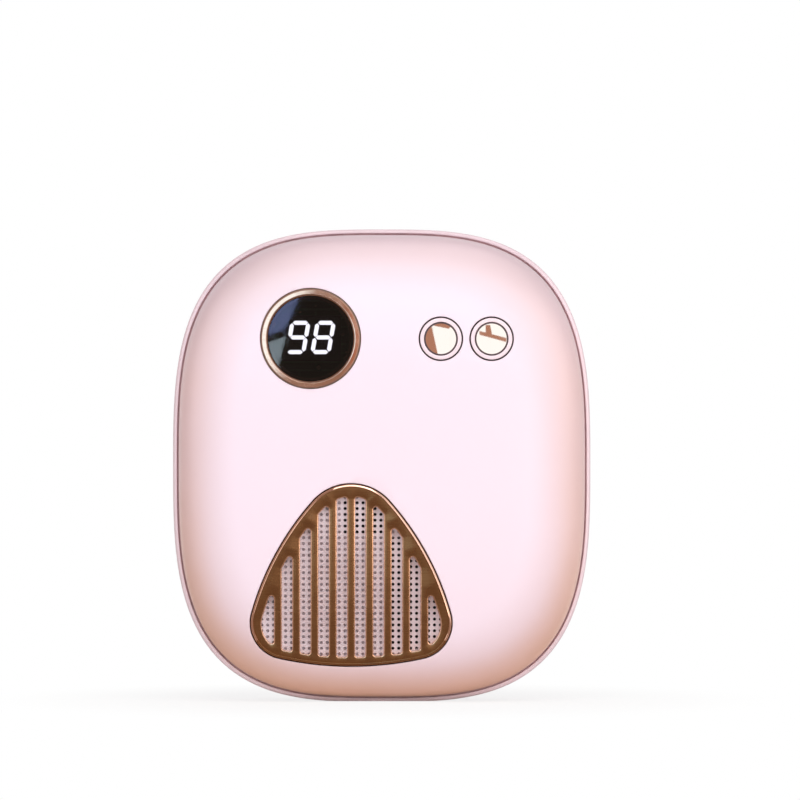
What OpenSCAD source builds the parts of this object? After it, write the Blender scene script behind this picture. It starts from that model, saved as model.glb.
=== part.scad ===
// Pocket hand warmer: a crowned two-shell case with a round percentage display,
// two press keys, a rose gold grille over a perforated screen, and heaters front and rear.
// The case stands on a small flat at its lowest edge. X is its width, Y its depth from
// the front (negative) to the back, and Z its height. Places named _x and _z are measured
// from the middle of the front face, drops from the case's top, and rises from its lowest
// edge. Lengths are in millimetres.

/* [Case] */
// Width over the rear cover
body_w = 83.2; // [76:0.1:92]
// Height over the rear cover, before its foot is flattened
body_h = 94.2; // [90:0.1:104]
// Depth from the front crown to the flat of the back
body_d = 28; // [27:0.1:32]
// Height that the rear cover's lowest edge is flattened by, to stand on
foot_flat = 0.2; // [0.2:0.05:0.4]
// Wall of both covers
wall = 1.8; // [1.5:0.1:2.2]
// Rise of the front crown above the parting line
front_rise = 9; // [8.6:0.1:9.6]
// Rise of the rear crown behind the straight band
rear_rise = 9; // [8:0.1:10]
// How square the case's outline is, 2 being an ellipse
outline_power = 3.12; // [2.9:0.01:3.4]
// How flat each crown is in its middle, 2 being an ellipse
crown_power = 3.5; // [3.2:0.1:4]
// Share of the rear crown that is cut to a flat, for the case to lie on
back_flat_share = 0.45; // [0.4:0.01:0.5]

/* [Parting line] */
// Width of the rear cover's rim that shows round the front cover
rim_w = 0.8; // [0.6:0.05:1]
// Rounding of that rim's outer edge
rim_round = 0.7; // [0.4:0.05:1]
// Open groove between the front cover and the rim
parting_gap = 0.35; // [0.2:0.05:0.5]
// Depth of the rim's shoulder, where the front cover rests
shoulder_depth = 0.8; // [0.6:0.1:1]
// Length of the front cover's tongue behind the shoulder
tongue_len = 2.5; // [2:0.1:2.8]
// Thickness of the tongue
tongue_t = 1; // [0.8:0.05:1.1]
// Clearance between the tongue and the rear cover
tongue_gap = 0.15; // [0.1:0.01:0.2]
// Length of each snap ridge on the tongue
snap_len = 10; // [6:0.5:12]
// Height of each snap ridge above the tongue
snap_out = 0.35; // [0.2:0.05:0.5]
// Thickness of each snap ridge
snap_t = 0.8; // [0.6:0.1:1]

/* [Display] */
// Display's middle, across from the middle of the front
display_x = -14.2; // [-15:0.1:-13]
// Display's middle, down from the case's top
display_drop = 21.8; // [21:0.1:23]
// Outer diameter of the bezel ring
bezel_d = 20; // [19:0.1:20.6]
// Face width of the bezel ring
bezel_face = 1.4; // [1.2:0.05:1.6]
// How far the bezel's middle stands out of the front cover
bezel_proud = 0.1; // [0:0.05:0.3]
// Depth of the bezel's seat behind the crown at the display's middle
bezel_seat = 1.3; // [1.2:0.05:1.5]
// Outer diameter of the sleeve behind the bezel's face
sleeve_d = 18.6; // [18.2:0.1:18.8]
// Opening of the sleeve behind the lens
sleeve_bore = 15.6; // [15.3:0.1:16]
// Depth of the sleeve behind the crown at the display's middle
sleeve_depth = 3; // [2.8:0.05:3.2]
// Clearance round the bezel, the sleeve and the lens
display_gap = 0.1; // [0.05:0.01:0.15]
// Height of the lens face below the bezel's face
lens_recess = 0.3; // [0.2:0.05:0.4]
// Thickness of the lens at its middle
lens_t = 1.9; // [1.7:0.05:2.1]
// Wall of the boss round the display's opening
display_boss_wall = 2; // [1.6:0.1:2.4]
// Width of the light emitting display module
module_w = 12; // [11.6:0.1:12.3]
// Height of the light emitting display module
module_h = 9; // [8.6:0.1:9.2]
// Height of one lit digit
digit_h = 7; // [6:0.1:7.2]
// Width of one lit digit
digit_w = 4.1; // [3.8:0.1:4.4]
// Distance from one digit to the next
digit_pitch = 5; // [4.8:0.1:5.4]
// Width of one lit segment
segment_w = 0.92; // [0.8:0.02:1]
// Thickness of one lit segment
segment_t = 0.15; // [0.1:0.01:0.2]
// Slant of the digits
digit_slant = 10; // [0:1:12]

/* [Keys] */
// First key's middle, across from the middle of the front
power_key_x = 11.6; // [11:0.1:12]
// Distance from the first key to the second
key_pitch = 10.05; // [9.95:0.05:10.6]
// Both keys' middle, down from the case's top
key_drop = 21.85; // [21:0.05:23]
// Diameter of each key
key_d = 8.4; // [8:0.1:8.5]
// Clearance round each key in the front cover
key_gap = 0.2; // [0.1:0.05:0.2]
// How far each key stands out of the front cover
key_proud = 0.15; // [0:0.05:0.3]
// Diameter of the flange that keeps each key in
flange_d = 9.6; // [9.4:0.05:9.7]
// Thickness of the flange
flange_t = 0.7; // [0.5:0.05:0.8]
// Diameter of the stem behind the flange
stem_d = 3.4; // [3:0.1:4]
// Diameter of the rose gold disc in each key
disc_d = 6.5; // [6:0.1:6.8]
// Thickness of the disc at its middle
disc_t = 0.7; // [0.6:0.05:0.8]
// Clearance round the disc
disc_gap = 0.08; // [0.05:0.01:0.1]
// Length of the stem behind the flange of the key that sits deeper
stem_len = 0.6; // [0.5:0.05:1.2]
// Travel of each key
key_travel = 0.3; // [0.2:0.05:0.3]

/* [Grille] */
// Grille's middle, across from the middle of the front
grille_x = -6.16; // [-7:0.01:-5]
// Height of the top round's middle above the lower rounds' middles
pick_h = 17.45; // [17:0.05:18]
// Radius of the grille's top round
pick_top_r = 10.15; // [9.6:0.05:10.6]
// Middle of each lower round, across from the grille's middle
pick_corner_x = 12.8; // [12:0.1:13.4]
// Middle of each lower round, up from the case's lowest edge
pick_corner_rise = 16.05; // [15.7:0.05:17]
// Radius of each lower round
pick_corner_r = 7.2; // [6.8:0.1:7.6]
// Radius of the bulging sides
pick_side_r = 56.5; // [50:0.5:64]
// Radius of the bulging lower side
pick_foot_r = 66; // [58:1:80]
// Clearance round the grille in the front cover
grille_gap = 0.12; // [0.05:0.01:0.2]
// How far the grille's raised rim stands out of the front cover
grille_proud = 0.35; // [0.2:0.05:0.5]
// Width of the raised rim
grille_rim_w = 0.7; // [0.6:0.05:0.9]
// Depth of the bars' faces below the front cover's surface
bar_recess = 0.25; // [0.1:0.05:0.4]
// Thickness of the grille at its top and its foot
grille_t = 1.3; // [1.2:0.05:1.5]
// Number of slots
slot_count = 10; // [8:1:10]
// Distance from one slot to the next
slot_pitch = 3.63; // [3.5:0.01:3.8]
// Width of one slot
slot_w = 2.32; // [2:0.02:2.5]
// Inset of the slots' ends from the sides and the top
slot_side_inset = 2.35; // [2:0.05:2.6]
// Inset of the slots' ends at the lower rounds
slot_corner_inset = 1.75; // [1.5:0.05:2]
// Lowering of the slots' field towards the foot
slot_field_drop = 0.25; // [0:0.05:0.4]
// Wall of the collar behind the grille
collar_wall = 1.6; // [1.4:0.1:1.8]
// Width of the ledge that carries the screen
ledge_w = 1.2; // [1:0.1:1.3]
// Thickness of that ledge
ledge_t = 1; // [0.8:0.1:1.2]

/* [Screen] */
// Thickness of the perforated screen
screen_t = 0.5; // [0.4:0.05:0.6]
// Diameter of one perforation
hole_d = 0.64; // [0.5:0.02:0.7]
// Distance between columns of perforations
hole_column_pitch = 1.182; // [1.15:0.001:1.3]
// Distance between rows of perforations
hole_row_pitch = 1.158; // [1.12:0.001:1.3]
// Top row of perforations, down from the grille's top
hole_top_drop = 2.65; // [2.5:0.05:2.9]
// Web left in the backing round its vent windows
vent_web = 0.7; // [0.6:0.05:1]
// Left edge of the vent window behind the upper slots
upper_vent_left = -1.75; // [-2:0.05:-1.5]
// Right edge of the vent window behind the upper slots
upper_vent_right = 6.85; // [6.5:0.05:6.9]
// Lower edge of the vent window behind the upper slots, down from the grille's top
upper_vent_drop = 10.2; // [9.6:0.05:10.3]
// Left edge of the vent window behind the right slots
side_vent_x = 7.45; // [7.3:0.05:8]
// Top edge of the vent window behind the right slots, down from the grille's top
side_vent_drop = 10.7; // [10.5:0.05:11.5]

/* [Circuit board] */
// Thickness of the board
board_t = 1.6; // [1.2:0.1:2]
// Board's lower edge, down from the case's top
board_drop = 34.1; // [33.7:0.1:34.5]
// Clearance between the board and the front cover's tongue
board_gap = 1.2; // [1:0.1:1.6]
// Lower screws, across from the middle
low_screw_x = 23; // [22:0.5:24]
// Lower screws, up from the board's lower edge
low_screw_up = 4; // [3.6:0.1:4.4]
// Upper screws, across from the middle
top_screw_x = 19.5; // [18:0.5:20]
// Upper screws, down from the case's top
top_screw_drop = 10.1; // [9.6:0.1:11]
// Diameter of the bosses under the screws
boss_d = 5; // [4.4:0.1:5.4]
// Diameter of the screws
screw_d = 2; // [1.6:0.1:2.2]
// Length of the screws under their heads
screw_len = 7; // [5:0.5:8]
// Diameter of the screws' heads
screw_head_d = 3.8; // [3.4:0.1:4]
// Height of the screws' heads
screw_head_h = 1.3; // [1:0.1:1.5]
// Clearance round a screw in its boss
thread_gap = 0.03; // [0.02:0.01:0.05]
// Clearance round a screw in the board
screw_gap = 0.15; // [0.1:0.01:0.2]

/* [Switches] */
// Side of each switch's square body
switch_w = 6; // [5.6:0.1:6.2]
// Height of each switch's body
switch_body_h = 3.5; // [3:0.1:4]
// Height of each switch to its plunger's tip
switch_h = 6.9; // [6.6:0.05:7]
// Diameter of each plunger
plunger_d = 3.4; // [3:0.1:3.6]
// Clearance round each plunger
plunger_gap = 0.05; // [0.03:0.01:0.08]
// Depth of each plunger inside its switch
plunger_sunk = 2; // [1.6:0.1:2.4]
// Gap between a key's stem and its plunger
stem_gap = 0.03; // [0.02:0.01:0.05]

/* [Battery] */
// Width of the battery cell
cell_w = 54; // [48:0.5:55]
// Gap between the cell's protection board and the main board
cell_board_gap = 3.8; // [3.4:0.1:8]
// Thickness of the battery cell
cell_t = 11; // [9:0.5:11.5]
// Rounding of the cell's long edges
cell_round = 3; // [2:0.1:3.5]
// Cell's lower edge, up from the case's lowest edge
cell_rise = 11.1; // [10.9:0.1:13]
// Cell's front face, forward of the middle of the depth
cell_front = 3; // [2.6:0.1:3.4]
// Thickness of the ribs round the cell
rib_t = 1; // [0.8:0.1:1.2]
// Clearance between the ribs and the cell
rib_gap = 0.4; // [0.3:0.05:0.5]
// Ribs' front edge, behind the middle of the depth
rib_front = 2; // [1.6:0.1:2.6]
// Width of the cell's protection board
guard_w = 30; // [26:0.5:34]
// Height of the protection board above the cell
guard_h = 1.2; // [1:0.1:1.4]
// Depth of the protection board
guard_t = 7; // [6:0.1:8]

/* [Heaters] */
// Thickness of the heat plates
plate_t = 0.8; // [0.6:0.05:1]
// Thickness of the heating films
film_t = 0.2; // [0.15:0.01:0.25]
// Inset of the front film from its plate's edge
film_inset = 2; // [1.5:0.1:3]
// Width of the rear heat plate
rear_plate_w = 30; // [26:0.5:30.5]
// Height of the rear heat plate
rear_plate_h = 35; // [32:0.5:35.5]
// Corner rounding of the rear heat plate
plate_corner = 4; // [3.5:0.1:5]

/* [Charging port] */
// Port's middle, down from the case's top
port_drop = 27.6; // [26.6:0.1:28.1]
// Width of the port's shell
port_w = 8.94; // [8.9:0.01:9]
// Height of the port's shell
port_h = 3.26; // [3.2:0.01:3.3]
// Length of the port's shell
port_len = 7.4; // [7:0.1:8]
// Thickness of the port's shell
port_wall = 0.3; // [0.25:0.01:0.35]
// Depth of the port's mouth inside the case's side
port_recess = 0.5; // [0.3:0.05:0.7]
// Clearance round the port in the rear cover
port_gap = 0.2; // [0.15:0.01:0.3]
// Width of the contact tongue in the port
port_tongue_w = 6.7; // [6.4:0.05:6.8]
// Thickness of the contact tongue
port_tongue_t = 0.7; // [0.6:0.05:0.8]
// Depth of the port's mouth
port_mouth = 5.5; // [5:0.1:6]

/* [Wiring] */
// Diameter of the wires
wire_d = 1.1; // [0.9:0.05:1.2]
// Distance between a pair of wires
wire_pitch = 2; // [1.8:0.1:2.4]
// Width of the wire connectors
plug_w = 5.6; // [5:0.1:6]
// Height of the wire connectors
plug_h = 4; // [3.6:0.1:4.4]
// Depth of the wire connectors off the board
plug_t = 3; // [2.6:0.1:3.2]

/* [Board parts] */
// Side of the square power inductor
inductor_w = 6; // [5:0.1:6.4]
// Height of the power inductor
inductor_t = 3; // [2.5:0.1:3.4]
// Side of the square control chip
chip_w = 5; // [4:0.1:6]
// Height of the control chip
chip_t = 0.9; // [0.7:0.1:1.2]
// Width of each board capacitor
cap_w = 1.6; // [1.2:0.1:1.8]
// Length of each board capacitor
cap_l = 3.2; // [2.4:0.1:3.6]
// Height of each board capacitor
cap_t = 1.4; // [1:0.1:1.8]
// Number of board capacitors
cap_count = 4; // [2:1:4]
// Diameter of the thermistor's bead
bead_d = 1.8; // [1.4:0.1:2]
// Length of the thermistor's bead
bead_len = 2.4; // [2:0.1:3]
// Diameter of the thermistor's leads
bead_lead_d = 0.5; // [0.4:0.05:0.6]

/* [Hidden] */

// Sides of a round, of a cover's outline, and steps of the crowns and the arcs
$fn = 48;
ring_sides = 72;
crown_steps = 12;
inner_steps = 6;
arc_steps = 7;
patch_steps = 12;

// Overrun of a cut past what it cuts, and step over which a slope is taken
over = wall / 2;
slope_step = wall / 20;

// Middle of the front's height above the foot, and half the depth
mid_z = body_h / 2 - foot_flat;
half_d = body_d / 2;

// Half widths and half heights: outside, rim, front cover, tongue and insides
out_a = body_w / 2;
out_b = body_h / 2;
rim_a = out_a - rim_w;
rim_b = out_b - rim_w;
front_a = rim_a - parting_gap;
front_b = rim_b - parting_gap;
rear_in_a = out_a - wall;
rear_in_b = out_b - wall;
tongue_a = rear_in_a - tongue_gap;
tongue_b = rear_in_b - tongue_gap;
front_in_a = tongue_a - tongue_t;
front_in_b = tongue_b - tongue_t;

// Heights from the middle of the front, which follow the case's top and its lowest edge
display_z = out_b - display_drop;
key_z = out_b - key_drop;
pick_corner_z = pick_corner_rise - out_b;
pick_top_z = pick_corner_z + pick_h;
board_low_z = out_b - board_drop;
low_screw_z = board_low_z + low_screw_up;
top_screw_z = out_b - top_screw_drop;
port_z = out_b - port_drop;
cell_low_z = cell_rise - out_b;
cell_high_z = board_low_z - cell_board_gap - guard_h;

// Places along the depth: parting line, shoulder, tongue's end and rear crown's base
part_y = -half_d + front_rise;
shoulder_y = part_y + shoulder_depth;
tongue_y = shoulder_y + tongue_len;
band_y = half_d - rear_rise * crown_height(back_flat_share);
back_in_y = band_y + (rear_rise - wall) * crown_height(back_flat_share);

// Height of a crown at a share of its outline, as a share of its rise
function crown_height(share) = pow(max(0, 1 - pow(share, crown_power)), 1 / crown_power);

// Share of an outline that a point lies at
function share_at(x, z, a, b) =
    pow(pow(abs(x) / a, outline_power) + pow(abs(z) / b, outline_power), 1 / outline_power);

// Depth of the front cover's surface at a point, and its slopes there
function front_y(x, z) = part_y - front_rise * crown_height(min(1, share_at(x, z, front_a, front_b)));
function slope_x(x, z) = (front_y(x + slope_step, z) - front_y(x - slope_step, z)) / (2 * slope_step);
function slope_z(x, z) = (front_y(x, z + slope_step) - front_y(x, z - slope_step)) / (2 * slope_step);

// One ring of an outline, kept above the foot
function outline_radius(a, b, t) =
    1 / pow(pow(abs(cos(t)) / a, outline_power) + pow(abs(sin(t)) / b, outline_power), 1 / outline_power);
function ring(a, b, y) = [
    for (i = [0:ring_sides - 1])
        let (t = (i + 1 / 2) * 360 / ring_sides, r = outline_radius(a, b, t))
            [r * cos(t), y, max(0, mid_z + r * sin(t))]
];

// Rings of a crown from its middle outwards: rise is negative towards the front
function crown_rings(a, b, base, rise, from, steps) = [
    for (i = [0:steps])
        let (
            start = asin(pow(from, crown_power / 2)),
            turn = start + (90 - start) * i / steps,
            share = pow(sin(turn), 2 / crown_power)
        )
            ring(a * share, b * share, base + rise * pow(cos(turn), 2 / crown_power))
];
function reversed(list) = [for (i = [len(list) - 1:-1:0]) list[i]];

// Closed solid through a list of rings, whose first and last ring are capped
module loft(rings) {
    n = ring_sides;
    last = (len(rings) - 1) * n;
    polyhedron(
        points = [for (r = rings) each r],
        faces = concat(
            [[for (i = [n - 1:-1:0]) i]],
            [for (j = [0:len(rings) - 2], i = [0:n - 1])
                let (k = (i + 1) % n, a = j * n, b = a + n) each [[a + i, b + k, b + i], [a + i, a + k, b + k]]],
            [[for (i = [0:n - 1]) last + i]]
        )
    );
}

// Cylinder along the depth, between two depths
module along_y(d, from, to, x, z) {
    translate([x, from, mid_z + z]) rotate([-90, 0, 0]) cylinder(d = d, h = to - from);
}

// Flat outline drawn in width and height, given a depth
module slab(from, to) {
    translate([0, to, 0]) rotate([90, 0, 0]) linear_extrude(height = to - from) children();
}

// Box between two corners, whose heights are from the middle of the front
module box(low, high) {
    translate([low[0], low[1], mid_z + low[2]]) cube(high - low);
}

// All that lies behind the plane that touches the front at a point, moved outwards
module behind_front(x, z, out) {
    translate([x, front_y(x, z) - out, mid_z + z])
        rotate([-atan(slope_z(x, z)), 0, atan(slope_x(x, z))])
            translate([-body_w / 2, 0, -body_w / 2]) cube([body_w, body_d, body_w]);
}

// Rectangle with round corners, drawn about its middle
module round_rect(w, h, r) {
    square([w - 2 * r, h], center = true);
    square([w, h - 2 * r], center = true);
    for (sx = [-1, 1], sz = [-1, 1]) translate([sx * (w / 2 - r), sz * (h / 2 - r)]) circle(r = r);
}

// Four points where the covers snap together, with their outward directions
module at_snaps() {
    for (turn = [0, 90, 180, 270])
        translate([0, 0, mid_z]) rotate([0, turn, 0]) translate([turn % 180 == 0 ? tongue_a : tongue_b, 0, 0]) children();
}

// Arc of points about a middle, from one angle to another
function arc(mid, r, from, to) = [
    for (i = [0:arc_steps]) let (t = from + (to - from) * i / arc_steps) mid + r * [cos(t), sin(t)]
];

// Rounded triangle with bulging sides: middle of its side arc, then its outline
function pick_side_mid(top_z, top_r, corner, corner_r, side_r) =
    let (
        way = corner - [0, top_z],
        d = norm(way),
        along = (pow(side_r - top_r, 2) - pow(side_r - corner_r, 2) + d * d) / (2 * d),
        across = sqrt(pow(side_r - top_r, 2) - along * along)
    )
        [0, top_z] + (way * along + [way[1], -way[0]] * across) / d;
function pick_outline(top_z, top_r, corner, corner_r, side_r, foot_r) =
    let (
        side = pick_side_mid(top_z, top_r, corner, corner_r, side_r),
        foot = [0, corner[1] + sqrt(pow(foot_r - corner_r, 2) - pow(corner[0], 2))],
        to_top = atan2(top_z - side[1], -side[0]),
        to_corner = atan2(corner[1] - side[1], corner[0] - side[0]),
        to_foot = atan2(corner[1] - foot[1], corner[0]),
        right = concat(
            [for (i = [0:arc_steps - 1]) arc([0, top_z], top_r, 90, to_top)[i]],
            [for (i = [0:arc_steps - 1]) arc(side, side_r, to_top, to_corner)[i]],
            [for (i = [0:arc_steps - 1]) arc(corner, corner_r, to_corner, to_foot)[i]],
            arc(foot, foot_r, to_foot, -90)
        )
    )
        concat(right, [for (i = [len(right) - 2:-1:1]) [-right[i][0], right[i][1]]]);

// Half the width of that triangle at a height, between its top and its foot
function pick_half_width(z, grow) =
    let (
        top_r = pick_top_r + grow,
        corner_r = pick_corner_r + grow,
        side_r = pick_side_r + grow,
        foot_r = pick_foot_r + grow,
        corner = [pick_corner_x, pick_corner_z],
        side = pick_side_mid(pick_top_z, top_r, corner, corner_r, side_r),
        foot_mid = pick_corner_z + sqrt(pow(foot_r - corner_r, 2) - pow(pick_corner_x, 2)),
        top_end = pick_top_z + top_r * (pick_top_z - side[1]) / norm([side[0], pick_top_z - side[1]]),
        side_end = side[1] + side_r * (pick_corner_z - side[1]) / (side_r - corner_r),
        foot_end = foot_mid + foot_r * (pick_corner_z - foot_mid) / (foot_r - corner_r)
    )
        z > top_end ? sqrt(max(0, top_r * top_r - pow(z - pick_top_z, 2)))
            : z > side_end ? side[0] + sqrt(side_r * side_r - pow(z - side[1], 2))
            : z > foot_end ? pick_corner_x + sqrt(corner_r * corner_r - pow(z - pick_corner_z, 2))
            : sqrt(max(0, foot_r * foot_r - pow(z - foot_mid, 2)));

// Grille's outline in its seat, grown or shrunk all round
module pick(grow) {
    polygon(pick_outline(pick_top_z, pick_top_r + grow, [pick_corner_x, pick_corner_z],
        pick_corner_r + grow, pick_side_r + grow, pick_foot_r + grow));
}

// Grille's seat is a plane that touches the crown at the grille's top and foot
pick_high_z = pick_top_z + pick_top_r;
pick_low_z = pick_corner_z + sqrt(pow(pick_foot_r - pick_corner_r, 2) - pow(pick_corner_x, 2)) - pick_foot_r;
seat_drop = front_y(grille_x, pick_low_z) - front_y(grille_x, pick_high_z);
seat_tilt = asin(seat_drop / (pick_high_z - pick_low_z));
module in_seat() {
    translate([grille_x, front_y(grille_x, pick_low_z), mid_z + pick_low_z])
        rotate([seat_tilt, 0, 0]) translate([0, 0, -pick_low_z]) children();
}

// Depths below the seat's plane: screen, ledge, backing, plate and film
screen_at = grille_t;
ledge_at = screen_at + screen_t;
plate_at = ledge_at + ledge_t;
film_at = plate_at + plate_t;
foam_at = film_at + film_t;

// Block under the front's own surface round the grille, moved outwards
module crowned_block(out) {
    n = patch_steps;
    reach = pick_corner_x + pick_corner_r + collar_wall + over;
    low = pick_low_z - over;
    high = pick_high_z + over;
    back = part_y + wall;
    front = [for (j = [0:n], i = [0:n])
        let (x = grille_x - reach + 2 * reach * i / n, z = low + (high - low) * j / n)
            [x, front_y(x, z) - out, mid_z + z]];
    rear = [for (p = front) [p[0], back, p[2]]];
    m = n + 1;
    all = m * m;
    edge = concat(
        [for (i = [0:n - 1]) i], [for (j = [0:n - 1]) j * m + n],
        [for (i = [n:-1:1]) n * m + i], [for (j = [n:-1:1]) j * m]
    );
    polyhedron(
        points = concat(front, rear),
        faces = concat(
            [for (j = [0:n - 1], i = [0:n - 1])
                let (a = j * m + i, b = a + all)
                    each [[a, a + m, a + m + 1], [a, a + m + 1, a + 1], [b, b + m + 1, b + m], [b, b + 1, b + m + 1]]],
            [for (i = [0:len(edge) - 1])
                let (a = edge[i], b = edge[(i + 1) % len(edge)]) each [[a, b, b + all], [a, b + all, a + all]]]
        )
    );
}

// Front cover: crowned shell with a tongue, a display boss and a grille collar
bezel_floor_y = front_y(display_x, display_z) + bezel_seat;
sleeve_end_y = front_y(display_x, display_z) + sleeve_depth;
second_key_x = power_key_x + key_pitch;
module front_cover() {
    color("mistyrose") difference() {
        union() {
            loft(concat(
                crown_rings(front_a, front_b, part_y, -front_rise, back_flat_share / 3, crown_steps),
                [ring(front_a, front_b, shoulder_y), ring(tongue_a, tongue_b, shoulder_y),
                 ring(tongue_a, tongue_b, tongue_y), ring(front_in_a, front_in_b, tongue_y)],
                reversed(crown_rings(front_in_a, front_in_b, part_y, wall - front_rise, back_flat_share, inner_steps))
            ));
            intersection() {
                along_y(sleeve_d + 2 * display_boss_wall, -half_d, sleeve_end_y, display_x, display_z);
                behind_front(display_x, display_z, -wall / 2);
            }
            intersection() {
                in_seat() slab(0, plate_at) pick(collar_wall);
                crowned_block(-wall / 2);
            }
            at_snaps() translate([-tongue_t / 2, shoulder_y + tongue_len / 2 - snap_t / 2, -snap_len / 2])
                cube([tongue_t / 2 + snap_out, snap_t, snap_len]);
        }
        along_y(bezel_d + 2 * display_gap, -half_d - over, bezel_floor_y, display_x, display_z);
        along_y(sleeve_d + 2 * display_gap, -half_d - over, sleeve_end_y + over, display_x, display_z);
        for (x = [power_key_x, second_key_x])
            along_y(key_d + 2 * key_gap, -half_d - over, front_y(x, key_z) + 2 * wall, x, key_z);
        in_seat() slab(-front_rise, ledge_at) pick(grille_gap);
        in_seat() slab(0, plate_at + over) pick(-ledge_w);
    }
}

// Rear cover: straight band with a round rim, crowned back, bosses and cell ribs
screw_places = [
    [-low_screw_x, low_screw_z], [low_screw_x, low_screw_z],
    [-top_screw_x, top_screw_z], [top_screw_x, top_screw_z]
];
rim_steps = 4;
module rear_cover() {
    color("pink") difference() {
        union() {
            loft(concat(
                crown_rings(rear_in_a, rear_in_b, band_y, rear_rise - wall, back_flat_share, inner_steps),
                [ring(rear_in_a, rear_in_b, shoulder_y), ring(rim_a, rim_b, shoulder_y)],
                [ring(rim_a, rim_b, part_y)],
                [for (i = [0:rim_steps]) let (t = 90 * i / rim_steps)
                    ring(out_a - rim_round * (1 - sin(t)), out_b - rim_round * (1 - sin(t)),
                        part_y + rim_round * (1 - cos(t)))],
                reversed(crown_rings(out_a, out_b, band_y, rear_rise, back_flat_share, crown_steps))
            ));
            intersection() {
                union() {
                    for (p = screw_places) along_y(boss_d, board_back_y, half_d, p[0], p[1]);
                    cell_ribs();
                }
                loft(concat(
                    [ring(out_a - wall / 2, out_b - wall / 2, board_back_y - over)],
                    reversed(crown_rings(out_a - wall / 2, out_b - wall / 2, band_y, rear_rise - wall / 2,
                        back_flat_share, inner_steps))
                ));
            }
        }
        for (p = screw_places)
            along_y(screw_d + 2 * thread_gap, board_back_y - over, board_back_y + screw_len, p[0], p[1]);
        at_snaps() translate([-tongue_gap, shoulder_y + (tongue_len - snap_t) / 2 - tongue_gap,
            -snap_len / 2 - tongue_gap])
            cube([snap_out + 2 * tongue_gap, snap_t + 2 * tongue_gap, snap_len + 2 * tongue_gap]);
        translate([port_mouth_x, port_y, mid_z + port_z]) rotate([0, 90, 0])
            translate([0, 0, -port_len / 2]) linear_extrude(height = port_len) port_profile(port_gap);
    }
}

// Ribs on the rear cover that stand round the battery cell
rib_reach_x = cell_w / 2 + rib_gap;
rib_low_z = cell_low_z - rib_gap;
rib_high_z = cell_high_z + guard_h + rib_gap;
module cell_ribs() {
    difference() {
        box([-rib_reach_x - rib_t, rib_front, rib_low_z - rib_t], [rib_reach_x + rib_t, half_d, rib_high_z + rib_t]);
        box([-rib_reach_x, rib_front - over, rib_low_z], [rib_reach_x, half_d + over, rib_high_z]);
        box([-rear_plate_w / 2 - rib_gap, rib_front - over, 0], [rear_plate_w / 2 + rib_gap, half_d + over, body_h]);
    }
}

// Bezel: ring with a face that follows the crown, and a sleeve through the cover
lens_d = bezel_d - 2 * bezel_face;
lens_back_y = front_y(display_x, display_z) - bezel_proud + lens_recess + lens_t;
module display_bezel() {
    color("peru") difference() {
        intersection() {
            union() {
                along_y(bezel_d, -half_d - over, bezel_floor_y, display_x, display_z);
                along_y(sleeve_d, -half_d - over, sleeve_end_y, display_x, display_z);
            }
            behind_front(display_x, display_z, bezel_proud);
        }
        along_y(lens_d + 2 * display_gap, -half_d - 2 * over, lens_back_y, display_x, display_z);
        along_y(sleeve_bore, -half_d - 2 * over, half_d, display_x, display_z);
    }
}

// Lens: smoked disc whose face follows the crown
module display_lens() {
    color("black") intersection() {
        along_y(lens_d, -half_d - over, lens_back_y, display_x, display_z);
        behind_front(display_x, display_z, bezel_proud - lens_recess);
    }
}

// Display module behind the lens, standing on the board, and its lit digits
segment_y = lens_back_y + segment_t;
module display_module() {
    color("dimgray") box(
        [display_x - module_w / 2, segment_y, display_z - module_h / 2],
        [display_x + module_w / 2, board_front_y, display_z + module_h / 2]
    );
}

// One bar with pointed ends along X, a little short of its length
segment_short = segment_w / 8;
module segment_bar(len) {
    reach = len / 2 - segment_short;
    point = segment_w / 2;
    polygon([[-reach, 0], [point - reach, -point], [reach - point, -point],
        [reach, 0], [reach - point, point], [point - reach, point]]);
}

// One digit, from the numbers of its lit bars: 0 top, 1 middle, 2 foot, 3 to 6 the sides
module digit(lit) {
    bar_w = digit_w - segment_w;
    bar_h = (digit_h - segment_w) / 2;
    for (n = lit) {
        if (n < 3)
            translate([(1 - n) * bar_h * tan(digit_slant), (1 - n) * bar_h]) segment_bar(bar_w);
        else
            let (side = n % 2 == 0 ? 1 : -1, up = n < 5 ? 1 : -1)
                translate([side * bar_w / 2 + up * bar_h / 2 * tan(digit_slant), up * bar_h / 2])
                    rotate(90 - digit_slant) segment_bar(bar_h / cos(digit_slant));
    }
}
module digit_segments() {
    color("white") translate([display_x, 0, mid_z + display_z]) slab(lens_back_y, segment_y) {
        translate([-digit_pitch / 2, 0]) digit([0, 1, 2, 3, 4, 6]);
        translate([digit_pitch / 2, 0]) digit([0, 1, 2, 3, 4, 5, 6]);
    }
}

// Keys: each follows the crown, is kept by its flange and presses its plunger by a stem
function inner_y(x, z) =
    part_y - (front_rise - wall) * crown_height(min(1, share_at(x, z, front_in_a, front_in_b)));
function flange_y(x) =
    key_gap / 2 + max([for (t = [0:360 / $fn:360])
        inner_y(x + flange_d / 2 * cos(t), key_z + flange_d / 2 * sin(t))]);
switch_tip_y = max(flange_y(power_key_x), flange_y(second_key_x)) + flange_t + stem_len + stem_gap;
board_front_y = switch_tip_y + switch_h;
board_back_y = board_front_y + board_t;
function disc_floor_y(x) = front_y(x, key_z) - key_proud + disc_t;
module key(x) {
    color("pink") difference() {
        union() {
            intersection() {
                along_y(key_d, -half_d - over, flange_y(x) + flange_t / 2, x, key_z);
                behind_front(x, key_z, key_proud);
            }
            along_y(flange_d, flange_y(x), flange_y(x) + flange_t, x, key_z);
            along_y(stem_d, flange_y(x), switch_tip_y - stem_gap, x, key_z);
        }
        along_y(disc_d + 2 * disc_gap, -half_d - over, disc_floor_y(x), x, key_z);
    }
}
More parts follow.
